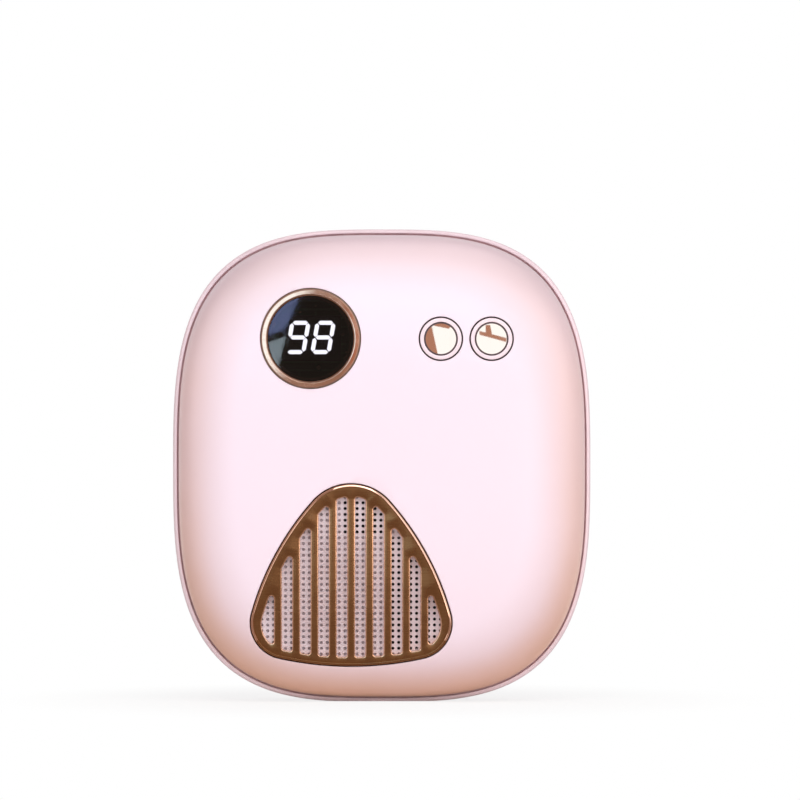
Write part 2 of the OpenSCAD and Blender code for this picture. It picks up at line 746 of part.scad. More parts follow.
module key_disc(x) {
    color("burlywood") intersection() {
        along_y(disc_d, -half_d - over, disc_floor_y(x), x, key_z);
        behind_front(x, key_z, key_proud);
    }
}
module power_key() { key(power_key_x); }
module power_key_disc() { key_disc(power_key_x); }
module heat_key() { key(second_key_x); }
module heat_key_disc() { key_disc(second_key_x); }

// Switches on the board, each with a plunger in its body
switch_face_y = board_front_y - switch_body_h;
module switch(x) {
    color("darkslategray") difference() {
        box([x - switch_w / 2, switch_face_y, key_z - switch_w / 2],
            [x + switch_w / 2, board_front_y, key_z + switch_w / 2]);
        along_y(plunger_d + 2 * plunger_gap, switch_face_y - over,
            switch_face_y + plunger_sunk + 2 * key_travel, x, key_z);
    }
}
module plunger(x) {
    color("ivory") along_y(plunger_d, switch_tip_y, switch_face_y + plunger_sunk, x, key_z);
}
module power_switch() { switch(power_key_x); }
module power_plunger() { plunger(power_key_x); }
module heat_switch() { switch(second_key_x); }
module heat_plunger() { plunger(second_key_x); }

// Slots of the grille: upright bars kept inside a field that follows the outline
module slot_field() {
    polygon(pick_outline(pick_top_z, pick_top_r - slot_side_inset,
        [pick_corner_x - slot_field_drop, pick_corner_z - slot_field_drop],
        pick_corner_r - slot_corner_inset, pick_side_r - slot_side_inset, pick_foot_r - slot_corner_inset));
}
module slots() {
    intersection() {
        slot_field();
        for (i = [0:slot_count - 1])
            translate([(i - (slot_count - 1) / 2) * slot_pitch - slot_w / 2, pick_low_z])
                square([slot_w, pick_high_z - pick_low_z]);
    }
}
module grille() {
    color("sienna") {
        intersection() {
            in_seat() slab(-front_rise, grille_t) difference() {
                pick(0);
                pick(-grille_rim_w);
            }
            crowned_block(grille_proud);
        }
        intersection() {
            in_seat() slab(-front_rise, grille_t) difference() {
                pick(-grille_rim_w / 2);
                slots();
            }
            crowned_block(-bar_recess);
        }
    }
}

// Perforated screen behind the grille
hole_top_z = pick_high_z - hole_top_drop;
hole_rows = floor((hole_top_z - pick_low_z - ledge_w) / hole_row_pitch);
hole_reach = floor((pick_corner_x + pick_corner_r) / hole_column_pitch);
module perforated_screen() {
    color("thistle") in_seat() slab(screen_at, ledge_at) difference() {
        pick(0);
        for (row = [0:hole_rows], column = [-hole_reach:hole_reach])
            let (x = column * hole_column_pitch, z = hole_top_z - row * hole_row_pitch)
                if (abs(x) + hole_d / 2 < pick_half_width(z, -ledge_w - hole_d / 2))
                    translate([x, z]) circle(d = hole_d, $fn = 16);
    }
}

// Backing pad inside the ledge, with two vent windows
module screen_backing() {
    color("gray") in_seat() slab(ledge_at, plate_at) difference() {
        pick(-ledge_w - grille_gap);
        intersection() {
            pick(-ledge_w - grille_gap - vent_web);
            union() {
                translate([upper_vent_left, pick_high_z - upper_vent_drop])
                    square([upper_vent_right - upper_vent_left, upper_vent_drop]);
                translate([side_vent_x, pick_low_z])
                    square([pick_corner_x + pick_corner_r - side_vent_x,
                        pick_high_z - side_vent_drop - pick_low_z]);
            }
        }
    }
}

// Front heater: plate on the collar, film on the plate, and foam back to the cell
module front_heat_plate() {
    color("black") in_seat() slab(plate_at, film_at) pick(0);
}
module front_heating_film() {
    color("orange") in_seat() slab(film_at, foam_at) pick(-film_inset);
}
module front_foam() {
    color("lightgray") difference() {
        in_seat() slab(foam_at, body_d) pick(-2 * film_inset);
        box([-body_w, -cell_front, -body_h], [body_w, 2 * body_d, body_h]);
    }
}

// Battery cell with round long edges, and its protection board
cell_back_y = cell_t - cell_front;
module battery_cell() {
    color("silver") translate([0, cell_t / 2 - cell_front, mid_z + cell_low_z])
        linear_extrude(height = cell_high_z - cell_low_z) round_rect(cell_w, cell_t, cell_round);
}
guard_y = (cell_back_y - cell_front) / 2;
module protection_board() {
    color("seagreen") box([-guard_w / 2, guard_y - guard_t / 2, cell_high_z],
        [guard_w / 2, guard_y + guard_t / 2, cell_high_z + guard_h]);
}

// Rear heater: foam behind the cell, film, and plate on the back cover's flat
rear_plate_y = back_in_y - plate_t;
rear_film_y = rear_plate_y - film_t;
module rear_foam() {
    color("lightgray") box([film_inset - rear_plate_w / 2, cell_back_y, film_inset - rear_plate_h / 2],
        [rear_plate_w / 2 - film_inset, rear_film_y, cell_high_z - film_inset]);
}
module rear_heating_film() {
    color("orange") translate([0, 0, mid_z]) slab(rear_film_y, rear_plate_y)
        round_rect(rear_plate_w - film_inset, rear_plate_h - film_inset, plate_corner);
}
module rear_heat_plate() {
    color("silver") translate([0, 0, mid_z]) slab(rear_plate_y, back_in_y)
        round_rect(rear_plate_w, rear_plate_h, plate_corner);
}

// Main board across the upper part of the case, and its four screws
board_a = front_in_a - board_gap;
board_b = front_in_b - board_gap;
module main_board() {
    color("darkgreen") difference() {
        translate([0, 0, mid_z]) slab(board_front_y, board_back_y) intersection() {
            polygon([for (p = ring(board_a, board_b, 0)) [p[0], p[2] - mid_z]]);
            translate([-board_a, board_low_z]) square([2 * board_a, board_b]);
        }
        for (p = screw_places)
            along_y(screw_d + 2 * screw_gap, board_front_y - over, board_back_y + over, p[0], p[1]);
    }
}
module board_screws() {
    recess = screw_head_h / 2;
    color("silver") for (p = screw_places) difference() {
        union() {
            along_y(screw_head_d, board_front_y - screw_head_h, board_front_y, p[0], p[1]);
            along_y(screw_d, board_front_y - screw_head_h, board_front_y + screw_len, p[0], p[1]);
        }
        for (turn = [0, 90])
            translate([p[0], board_front_y - screw_head_h, mid_z + p[1]]) rotate([0, turn, 0])
                translate([-screw_d / 2, -over, -screw_d / 10]) cube([screw_d, over + recess, screw_d / 5]);
    }
}

// Charging port on the board's rear face, with its mouth at the case's side
port_y = board_back_y + port_h / 2;
port_side_x = out_a * pow(1 - pow((port_z + port_w / 2) / out_b, outline_power), 1 / outline_power);
port_mouth_x = port_side_x - port_recess;
module port_profile(grow) {
    r = port_h / 2 + grow;
    square([port_w - port_h, 2 * r], center = true);
    for (side = [-1, 1]) translate([side * (port_w - port_h) / 2, 0]) circle(r = r);
}
module in_port() {
    translate([port_mouth_x, port_y, mid_z + port_z]) rotate([0, -90, 0]) children();
}
module charging_port() {
    color("lightsteelblue") in_port() difference() {
        linear_extrude(height = port_len) port_profile(0);
        translate([0, 0, -over]) linear_extrude(height = port_mouth + over) port_profile(-port_wall);
    }
}
module port_tongue() {
    color("black") in_port() translate([-port_tongue_w / 2, -port_tongue_t / 2, port_recess])
        cube([port_tongue_w, port_tongue_t, port_mouth - port_recess]);
}

// Wire connectors: for the battery on the board's back, for the heaters front and back
lead_z = low_screw_z - plug_h / 2;
battery_lead_x = -guard_w / 4;
rear_lead_x = guard_w / 4;
front_lead_x = grille_x + wire_pitch;
module connector(x, from, to) {
    color("white") box([x - plug_w / 2, from, lead_z], [x + plug_w / 2, to, lead_z + plug_h]);
}
module battery_connector() { connector(battery_lead_x, board_back_y, board_back_y + plug_t); }
module rear_heater_connector() { connector(rear_lead_x, board_back_y, board_back_y + plug_t); }
module front_heater_connector() { connector(front_lead_x, board_front_y - plug_t, board_front_y); }

// Straight wires from the cell and the rear film, and bent ones from the front film
module pair() {
    for (side = [-1, 1]) translate([side * wire_pitch / 2, 0, 0]) children();
}
module battery_leads() {
    from = cell_high_z + guard_h;
    color("crimson") pair() translate([battery_lead_x, board_back_y + plug_t / 2, mid_z + from])
        cylinder(d = wire_d, h = lead_z - from);
}
module rear_heater_leads() {
    color("gold") pair() along_y(wire_d, board_back_y + plug_t, rear_film_y, rear_lead_x, lead_z + wire_d);
}
front_wire_y = front_y(grille_x, pick_high_z) + foam_at + 2 * film_inset * tan(seat_tilt) + wire_d / 2;
front_bend_z = board_low_z - plug_t;
module front_heater_leads() {
    up_y = board_front_y - plug_t / 2;
    start_z = pick_high_z - film_inset - wire_d;
    color("gold") pair() {
        translate([front_lead_x, front_wire_y, mid_z + start_z]) cylinder(d = wire_d, h = front_bend_z - start_z);
        translate([front_lead_x, front_wire_y, mid_z + front_bend_z]) sphere(d = wire_d);
        along_y(wire_d, front_wire_y, up_y, front_lead_x, front_bend_z);
        translate([front_lead_x, up_y, mid_z + front_bend_z]) sphere(d = wire_d);
        translate([front_lead_x, up_y, mid_z + front_bend_z]) cylinder(d = wire_d, h = lead_z - front_bend_z);
    }
}

// Larger parts on the board's front face
module power_inductor() {
    z = top_screw_z - inductor_w / 2;
    color("dimgray") box([-inductor_w / 2, board_front_y - inductor_t, z],
        [inductor_w / 2, board_front_y, z + inductor_w]);
}
module control_chip() {
    color("black") box([-chip_w / 2, board_front_y - chip_t, key_z - chip_w / 2],
        [chip_w / 2, board_front_y, key_z + chip_w / 2]);
}
module board_capacitors() {
    for (i = [0:cap_count - 1])
        color("tan") let (x = power_key_x - cap_l + i * 2 * cap_w)
            box([x, board_front_y - cap_t, low_screw_z], [x + cap_w, board_front_y, low_screw_z + cap_l]);
}

// Thermistor: bead against the rear film, on two leads from the board
module thermistor() {
    z = low_screw_z - bead_d;
    color("saddlebrown") {
        translate([-bead_len / 2, rear_film_y - bead_d / 2, mid_z + z]) rotate([0, 90, 0])
            cylinder(d = bead_d, h = bead_len);
        for (side = [-1, 1])
            along_y(bead_lead_d, board_back_y, rear_film_y - bead_d / 2, side * (bead_len / 2 - bead_lead_d), z);
    }
}

front_cover();
rear_cover();
display_bezel();
display_lens();
digit_segments();
display_module();
power_key();
power_key_disc();
heat_key();
heat_key_disc();
power_switch();
power_plunger();
heat_switch();
heat_plunger();
grille();
perforated_screen();
screen_backing();
front_heat_plate();
front_heating_film();
front_foam();
battery_cell();
protection_board();
rear_foam();
rear_heating_film();
rear_heat_plate();
main_board();
board_screws();
charging_port();
port_tongue();
battery_connector();
front_heater_connector();
rear_heater_connector();
battery_leads();
front_heater_leads();
rear_heater_leads();
power_inductor();
control_chip();
board_capacitors();
thermistor();
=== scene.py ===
import math
import bmesh
import bpy
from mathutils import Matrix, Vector


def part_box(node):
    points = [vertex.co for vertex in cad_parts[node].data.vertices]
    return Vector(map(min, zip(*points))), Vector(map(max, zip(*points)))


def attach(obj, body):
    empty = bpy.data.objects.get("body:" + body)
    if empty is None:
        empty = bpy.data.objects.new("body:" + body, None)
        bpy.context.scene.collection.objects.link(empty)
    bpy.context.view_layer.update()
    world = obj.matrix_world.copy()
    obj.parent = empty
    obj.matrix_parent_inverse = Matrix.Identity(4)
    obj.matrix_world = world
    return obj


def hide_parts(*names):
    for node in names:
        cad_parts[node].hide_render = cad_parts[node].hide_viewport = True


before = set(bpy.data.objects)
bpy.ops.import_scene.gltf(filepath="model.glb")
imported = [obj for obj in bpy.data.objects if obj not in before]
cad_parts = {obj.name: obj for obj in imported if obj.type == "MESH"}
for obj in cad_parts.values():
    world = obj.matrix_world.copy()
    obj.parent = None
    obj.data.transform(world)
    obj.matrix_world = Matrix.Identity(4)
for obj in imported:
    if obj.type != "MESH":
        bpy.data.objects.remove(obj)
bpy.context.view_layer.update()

# Millimetres in metres, the scene's unit
MM = 0.001

# Case: the outline is a rounded square, its crowns rise in a steep edge to a flat middle.
# Tables of an edge, here and below, are in millimetres: a distance across and a depth for each ring
OUTLINE_POWER = 3.12
CROWN_POWER = 3.5
CASE_A = 41.6 * MM
CASE_B = 47.1 * MM
HALF_DEPTH = 14 * MM
CROWN_RISE = 9 * MM
WALL = 1.8 * MM
FOOT_FLAT = 0.2 * MM
MID_Z = CASE_B - FOOT_FLAT
FLAT_SHARE = 0.45
FRONT_TIP_SHARE = 0.03
RIM_WIDTH = 0.8 * MM
RIM_ROUND = 0.7 * MM
PARTING_GAP = 0.35 * MM
SHOULDER_DEPTH = 0.8 * MM
TONGUE_LENGTH = 2.5 * MM
TONGUE_THICKNESS = 1 * MM
TONGUE_GAP = 0.15 * MM
RIM_INNER_EDGE = ((0, 0.1), (0.03, 0.03))
PART_Y = CROWN_RISE - HALF_DEPTH
SHOULDER_Y = PART_Y + SHOULDER_DEPTH
RIM_A = CASE_A - RIM_WIDTH
RIM_B = CASE_B - RIM_WIDTH
FRONT_A = RIM_A - PARTING_GAP
FRONT_B = RIM_B - PARTING_GAP
BORE_A = CASE_A - WALL
BORE_B = CASE_B - WALL
TONGUE_A = BORE_A - TONGUE_GAP - TONGUE_THICKNESS
TONGUE_B = BORE_B - TONGUE_GAP - TONGUE_THICKNESS

# Display, its middle given from the middle of the front
DISPLAY_X = -14.2 * MM
DISPLAY_Z = 25.3 * MM
BEZEL_R = 9.9 * MM
BEZEL_FACE = 1.35 * MM
BEZEL_PROUD = 0.1 * MM
BEZEL_SEAT = 1.3 * MM
SLEEVE_R = 9.3 * MM
SLEEVE_BORE_R = 7.8 * MM
SLEEVE_DEPTH = 3 * MM
BEZEL_OUTER_EDGE = ((0, 0.2), (0.06, 0.09), (0.17, 0), (0.31, -0.075), (0.35, -0.0765))
BEZEL_INNER_EDGE = ((0.24, -0.0985), (0.2, -0.1), (0.1, -0.07), (0.04, 0.02), (0, 0.2))
# Width of the painted shade on the ring's outer edge
BEZEL_EDGE_BAND = 0.25 * MM
DISPLAY_GAP = 0.1 * MM
DISPLAY_MOUTH_ROUND = 0.12 * MM
LENS_RECESS = 0.3 * MM
LENS_THICKNESS = 1.9 * MM
LENS_DOME = 0.02 * MM
LENS_CLEARANCE = 0.03 * MM
LENS_EDGE = ((0, 0.3), (0.05, 0.17))
LENS_FACE_INSET = 0.16 * MM
LENS_FACE_DEPTH = 0.06 * MM
LENS_HOLDING_SHARE = 0.985
FIGURE_HEIGHT = 6.6 * MM
FIGURE_WIDTH = 4 * MM
FIGURE_PITCH = 5 * MM
FIGURE_SLANT = math.radians(10)
STROKE = 0.8 * MM

# Keys
KEY_PLACES = {"power_key": 11.6 * MM, "heat_key": 21.65 * MM}
KEY_Z = 25.25 * MM
KEY_R = 4.2 * MM
KEY_GAP = 0.2 * MM
KEY_PROUD = 0.15 * MM
KEY_FLANGE_R = 4.8 * MM
KEY_FLANGE_THICKNESS = 0.7 * MM
KEY_STEM_R = 1.7 * MM
KEY_SEAT_EDGE = ((0, 0.05), (0.06, 0))
KEY_EDGE = ((0.32, 0), (0.12, 0.06), (0, 0.24))
KEY_BEVEL = 0.04 * MM
KEY_EDGE_BAND = 0.1 * MM
KEY_SEAT_BAND = 0.03 * MM
KEY_MOUTH_ROUND = 0.14 * MM
DISC_R = 3.25 * MM
DISC_THICKNESS = 0.7 * MM
DISC_GAP = 0.08 * MM
DISC_DOME = 0.035 * MM
DISC_EDGE_DEPTH = 0.1 * MM
DISC_BEVEL = 0.04 * MM
DISC_EDGE_BAND = 0.2 * MM

# Grille: a rounded triangle of arcs, given from the middle of the front.
# Its rim has the bars' darker metal below a height, painted shade where the rim gets no light from above
GRILLE_X = -6.16 * MM
PICK_TOP_Z = -13.6 * MM
PICK_TOP_R = 10.15 * MM
PICK_CORNER = Vector((12.8, -31.05)) * MM
PICK_CORNER_R = 7.2 * MM
PICK_SIDE_R = 56.5 * MM
PICK_FOOT_R = 66 * MM
GRILLE_GAP = 0.12 * MM
GRILLE_MOUTH_ROUND = 0.18 * MM
GRILLE_THICKNESS = 1.3 * MM
BAR_RECESS = 0.25 * MM
RIM_PROFILE = ((-0.62, -0.25), (-0.61, 0.05), (-0.57, 0.15), (-0.5, 0.18), (-0.42, 0.15), (-0.18, -0.08),
               (-0.06, -0.2), (0, -0.3))
RIM_CREST_BANDS = 5
RIM_SHADED_FOOT_Z = -34.5 * MM
SLOT_COUNT = 10
SLOT_PITCH = 3.63 * MM
SLOT_WIDTH = 2.54 * MM
SLOT_SIDE_INSET = 2.35 * MM
SLOT_CORNER_INSET = 1.75 * MM
SLOT_FIELD_DROP = 0.25 * MM
SLOT_ROUND = 0.75 * MM
SLOT_SPACING = 1.1 * MM
SLOT_WALL = ((0, 0), (0.15, 0.08), (0.21, 0.2), (0.25, 0.5))

# Charging port: its middle, its straight length and rounds, and how its mouth flares out of the side
PORT_Z = 19.5 * MM
PORT_Y = 0.58 * MM
PORT_GAP = 0.2 * MM
PORT_HALF_STRAIGHT = 2.84 * MM
PORT_R = 1.63 * MM
PORT_MOUTH = ((2, 0.5), (0.35, 0.5), (0.05, 0.2), (-0.25, 0.05), (-0.6, 0), (-7, 0))

# Cutters of the front's openings: their reach both ways, and their flare outside the crown
CUT_INWARDS = 3 * WALL
CUT_OUTWARDS = 2 * WALL
MOUTH_FLARE = 1.3
MOUTH_START = 0.05 * MM

# Points of each loop, steps of each curve, and the angle above which an edge stays sharp
OUTLINE_POINTS = 208
ROUND_POINTS = 96
FLANGE_POINTS = 48
ARC_POINTS = 22
PORT_STEPS = 16
MOUTH_STEPS = 4
RIM_STEPS = 8
FRONT_STEPS = 34
FRONT_CAVITY_STEPS = 8
BACK_STEPS = 30
BACK_CAVITY_STEPS = 10
LENS_STEPS = 10
DISC_STEPS = 16
SLOT_TURNS = 64
SLOT_SPOTS = 16
SHARP_ANGLE = math.radians(32)
SLOPE_STEP = 0.1 * MM
SMALLEST_EDGE = 0.001 * MM


# Shapes of the case

def crown(share):
    """Height of a crown at a share of its outline, as a share of its rise."""
    return max(0.0, 1 - share ** CROWN_POWER) ** (1 / CROWN_POWER)


def share_at(x, z, a=FRONT_A, b=FRONT_B):
    """Share of an outline, the front cover's unless told otherwise, that a point lies at."""
    power = abs(x / a) ** OUTLINE_POWER + abs(z / b) ** OUTLINE_POWER
    return min(1.0, power ** (1 / OUTLINE_POWER))


def side_at(z):
    """How far across the case's right side lies at a height."""
    return CASE_A * (1 - abs(z / CASE_B) ** OUTLINE_POWER) ** (1 / OUTLINE_POWER)


def front_y(x, z):
    """Depth of the front cover's surface."""
    return PART_Y - CROWN_RISE * crown(share_at(x, z))


def front_slopes(x, z):
    """Slopes of the front cover's surface across and upwards."""
    across = front_y(x + SLOPE_STEP, z) - front_y(x - SLOPE_STEP, z)
    upwards = front_y(x, z + SLOPE_STEP) - front_y(x, z - SLOPE_STEP)
    return across / (2 * SLOPE_STEP), upwards / (2 * SLOPE_STEP)


def outline(a, b, y):
    """Ring of points round the case, kept above the foot."""
    ring = []
    for i in range(OUTLINE_POINTS):
        turn = math.tau * (i + 0.5) / OUTLINE_POINTS
        power = abs(math.cos(turn) / a) ** OUTLINE_POWER + abs(math.sin(turn) / b) ** OUTLINE_POWER
        radius = power ** (-1 / OUTLINE_POWER)
        ring.append(Vector((radius * math.cos(turn), y, max(-MID_Z, radius * math.sin(turn)))))
    return ring


def crown_rings(a, b, base, rise, start, steps):
    """Rings of a crown from its middle outwards. The rise is negative towards the front."""
    rings = []
    first = math.asin(start ** (CROWN_POWER / 2))
    for i in range(steps + 1):
        turn = first + (math.pi / 2 - first) * i / steps
        share = math.sin(turn) ** (2 / CROWN_POWER)
        height = max(0.0, math.cos(turn)) ** (2 / CROWN_POWER)
        rings.append(outline(a * share, b * share, base + rise * height))
    return rings


def circle(x, z, radius, points=ROUND_POINTS):
    """Points of a circle on the front, as places across and up."""
    turns = [math.tau * i / points for i in range(points)]
    return [Vector((x + radius * math.cos(turn), z + radius * math.sin(turn))) for turn in turns]


def arc(middle, radius, start, end):
    """Points of an arc from one angle to another, the last one left out."""
    turns = [start + (end - start) * i / ARC_POINTS for i in range(ARC_POINTS)]
    return [middle + radius * Vector((math.cos(turn), math.sin(turn))) for turn in turns]


class Pick:
    """Rounded triangle of arcs: a top round, two bulging sides, two lower rounds and a bulging foot."""

    def __init__(self, grow=0.0, side_grow=None, drop=0.0):
        side_grow = grow if side_grow is None else side_grow
        self.top = Vector((0, PICK_TOP_Z))
        self.top_r = PICK_TOP_R + side_grow
        self.corner = PICK_CORNER - Vector((drop, drop))
        self.corner_r = PICK_CORNER_R + grow
        self.side_r = PICK_SIDE_R + side_grow
        self.foot_r = PICK_FOOT_R + grow
        way = self.corner - self.top
        reach = way.length
        to_top = self.side_r - self.top_r
        along = (to_top ** 2 - (self.side_r - self.corner_r) ** 2 + reach ** 2) / (2 * reach)
        across = math.sqrt(to_top ** 2 - along ** 2)
        self.side = self.top + (way * along + Vector((way.y, -way.x)) * across) / reach
        rise = math.sqrt((self.foot_r - self.corner_r) ** 2 - self.corner.x ** 2)
        self.foot = Vector((0, self.corner.y + rise))

    def points(self):
        """Its outline, as places across and up from the middle of the front."""
        top_turn = math.atan2(self.top.y - self.side.y, -self.side.x)
        corner_turn = math.atan2(self.corner.y - self.side.y, self.corner.x - self.side.x)
        foot_turn = math.atan2(self.corner.y - self.foot.y, self.corner.x)
        right = arc(self.top, self.top_r, math.pi / 2, top_turn)
        right += arc(self.side, self.side_r, top_turn, corner_turn)
        right += arc(self.corner, self.corner_r, corner_turn, foot_turn)
        right += arc(self.foot, self.foot_r, foot_turn, -math.pi / 2)
        foot_point = self.foot - Vector((0, self.foot_r))
        left = [Vector((-p.x, p.y)) for p in reversed(right[1:])]
        shift = Vector((GRILLE_X, 0))
        return [p + shift for p in right + [foot_point] + left]

    def ends(self, x):
        """Lowest and highest height at a place across from its own middle."""
        x = abs(x)
        reach = x - self.corner.x
        if x < self.foot_r * self.corner.x / (self.foot_r - self.corner_r):
            low = self.foot.y - math.sqrt(self.foot_r ** 2 - x ** 2)
        else:
            low = self.corner.y - math.sqrt(max(0.0, self.corner_r ** 2 - reach ** 2))
        top_end = self.top_r * -self.side.x / (self.side - self.top).length
        corner_way = (self.corner - self.side).normalized()
        if x < top_end:
            high = self.top.y + math.sqrt(self.top_r ** 2 - x ** 2)
        elif x < self.side.x + self.side_r * corner_way.x:
            high = self.side.y + math.sqrt(self.side_r ** 2 - (x - self.side.x) ** 2)
        else:
            high = self.corner.y + math.sqrt(max(0.0, self.corner_r ** 2 - reach ** 2))
        return low, high


def on_front(points, out):
    """Places on the front made points, standing out of the crown or, if negative, behind it."""
    return [Vector((p.x, front_y(p.x, p.y) - out, p.y)) for p in points]


# Grille's seat is the plane that touches the crown at the grille's top and foot
SEAT_HIGH_Z = PICK_TOP_Z + PICK_TOP_R
SEAT_LOW_Z = Pick().ends(0)[0]
SEAT_LOW_Y = front_y(GRILLE_X, SEAT_LOW_Z)
SEAT_SINE = (SEAT_LOW_Y - front_y(GRILLE_X, SEAT_HIGH_Z)) / (SEAT_HIGH_Z - SEAT_LOW_Z)
SEAT_COSINE = math.sqrt(1 - SEAT_SINE ** 2)


def seat_y(z, depth):
    """Depth of a plane that lies behind the grille's seat, at a height on the front."""
    run = (z - SEAT_LOW_Z - depth * SEAT_SINE) / SEAT_COSINE
    return SEAT_LOW_Y + depth * SEAT_COSINE - run * SEAT_SINE


# Mesh helpers

def sweep(bm, rings):
    """Band of faces through rings of points, as its first and last loop of edges and its faces."""
    ring_verts = bmesh.ops.create_circle(bm, cap_ends=False, segments=len(rings[0]), radius=1)["verts"]
    for vert, point in zip(ring_verts, rings[0]):
        vert.co = point
    first = list({edge for vert in ring_verts for edge in vert.link_edges})
    edges, faces = first, []
    for ring in rings[1:]:
        grown = bmesh.ops.extrude_edge_only(bm, edges=edges)["geom"]
        fresh = {item for item in grown if isinstance(item, bmesh.types.BMVert)}
        faces += [item for item in grown if isinstance(item, bmesh.types.BMFace)]
        edges = [item for item in grown
                 if isinstance(item, bmesh.types.BMEdge) and set(item.verts) <= fresh]
        moved = []
        for vert, point in zip(ring_verts, ring):
            beside = [edge.other_vert(vert) for edge in vert.link_edges]
            partner = next(other for other in beside if other in fresh)
            partner.co = point
            moved.append(partner)
        ring_verts = moved
    return first, edges, faces


def loft(bm, rings, shaded=()):
    """Closed solid through rings of points, the bands that are named given the second material."""
    first, last, faces = sweep(bm, rings)
    for number, face in enumerate(faces):
        face.material_index = int(number // len(rings[0]) in shaded)
    for end in (first, last):
        bmesh.ops.edgeloop_fill(bm, edges=end)
    bmesh.ops.recalc_face_normals(bm, faces=bm.faces)


def spun(profile, closed=True):
    """Solid of revolution round an axis along the depth, from radii and depths."""
    bm = bmesh.new()
    verts = [bm.verts.new((radius, depth, 0)) for radius, depth in profile]
    pairs = list(zip(verts, verts[1:]))
    if closed:
        pairs.append((verts[-1], verts[0]))
    edges = [bm.edges.new(pair) for pair in pairs]
    bmesh.ops.spin(bm, geom=verts + edges, cent=(0, 0, 0), axis=(0, 1, 0), dvec=(0, 0, 0),
                   angle=math.tau, steps=ROUND_POINTS, use_merge=True, use_duplicate=False)
    bmesh.ops.remove_doubles(bm, verts=bm.verts, dist=SMALLEST_EDGE)
    bmesh.ops.recalc_face_normals(bm, faces=bm.faces)
    return bm


def soften(bm, width):
    """Rounds every sharp edge."""
    edges = [edge for edge in bm.edges if edge.calc_face_angle(0) > SHARP_ANGLE]
    bmesh.ops.bevel(bm, geom=edges, offset=width, offset_type="OFFSET", segments=2, profile=0.5,
                    affect="EDGES", clamp_overlap=True, material=-1)


def shade(bm, low, high):
    """Gives the second material to a round piece's faces between two radii."""
    for face in bm.faces:
        middle = face.calc_center_median()
        if low < math.hypot(middle.x, middle.z) < high:
            face.material_index = 1


def settle(bm, x, z, face_depth):
    """Moves a round piece to its place on the front, its face leaning with the crown."""
    across, upwards = front_slopes(x, z)
    for vert in bm.verts:
        lean = 1 - min(1.0, max(0.0, vert.co.y / face_depth))
        vert.co.y += lean * (across * vert.co.x + upwards * vert.co.z)
    bmesh.ops.translate(bm, verts=bm.verts, vec=(x, front_y(x, z), z))


def placed(name, data):
    """New object in the scene."""
    piece = bpy.data.objects.new(name, data)
    bpy.context.scene.collection.objects.link(piece)
    return piece


def built(bm, name, *materials):
    """New object in the scene from a mesh in the making."""
    mesh = bpy.data.meshes.new(name)
    bm.to_mesh(mesh)
    bm.free()
    for material in materials:
        mesh.materials.append(material)
    return placed(name, mesh)


def smoothed(mesh):
    """Shades a mesh smooth but for its sharp edges."""
    mesh.shade_smooth()
    mesh.set_sharp_from_angle(angle=SHARP_ANGLE)


def finished(bm, name, *materials, smooth=True):
    """Object from a mesh whose heights are from the middle of the front."""
    bmesh.ops.translate(bm, verts=bm.verts, vec=(0, 0, MID_Z))
    piece = built(bm, name, *materials)
    if smooth:
        smoothed(piece.data)
    return piece


def dress(piece, body, node):
    """Gives a piece its body and hides the CAD node that it stands for."""
    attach(piece, body)
    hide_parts(node)


def cut(piece, cutters):
    """Cuts closed shapes out of a piece, and removes them."""
    for number, cutter in enumerate(cutters):
        opening = piece.modifiers.new(f"opening_{number}", "BOOLEAN")
        opening.operation = "DIFFERENCE"
        opening.solver = "EXACT"
        opening.material_mode = "TRANSFER"
        opening.object = cutter
    bpy.context.view_layer.update()
    shaped = piece.evaluated_get(bpy.context.evaluated_depsgraph_get())
    mesh = bpy.data.meshes.new_from_object(shaped)
    piece.modifiers.clear()
    old = piece.data
    piece.data = mesh
    bpy.data.meshes.remove(old)
    for cutter in cutters:
        shape = cutter.data
        bpy.data.objects.remove(cutter)
        bpy.data.meshes.remove(shape)
    mesh.name = piece.name
    smoothed(mesh)


def front_cutter(name, mouth, mouth_round, *place):
    """Cutter for an opening in the front cover, with a small round at the crown's surface."""
    flare = MOUTH_FLARE * mouth_round
    steps = [(flare, -CUT_OUTWARDS), (flare, -MOUTH_START), (mouth_round, 0)]
    for i in range(1, MOUTH_STEPS + 1):
        turn = math.pi / 2 * i / MOUTH_STEPS
        steps.append((mouth_round * (1 - math.sin(turn)), mouth_round * (1 - math.cos(turn))))
    steps.append((0, CUT_INWARDS))
    bm = bmesh.new()
    loft(bm, [on_front(mouth(grow, *place), -inward) for grow, inward in steps], [len(steps) - 2])
    return finished(bm, name, lacquer, gap_shade, smooth=False)


# Material helpers

def node_material(name):
    """New node material."""
    material = bpy.data.materials.new(name)
    material.use_nodes = True
    return material


def maths_node(tree, operation, *values):
    """Maths on values, each a number or a socket."""
    node = tree.nodes.new("ShaderNodeMath")
    node.operation = operation
    for socket, value in zip(node.inputs, values):
        if isinstance(value, (int, float)):
            socket.default_value = value
        else:
            tree.links.new(value, socket)
    return node.outputs[0]


def range_node(tree, value, *limits):
    """A value taken smoothly from one range to another, 0 to 1 unless told otherwise."""
    node = tree.nodes.new("ShaderNodeMapRange")
    node.interpolation_type = "SMOOTHSTEP"
    for socket, limit in zip(("From Min", "From Max", "To Min", "To Max"), limits):
        node.inputs[socket].default_value = limit
    tree.links.new(value, node.inputs["Value"])
    return node.outputs["Result"]


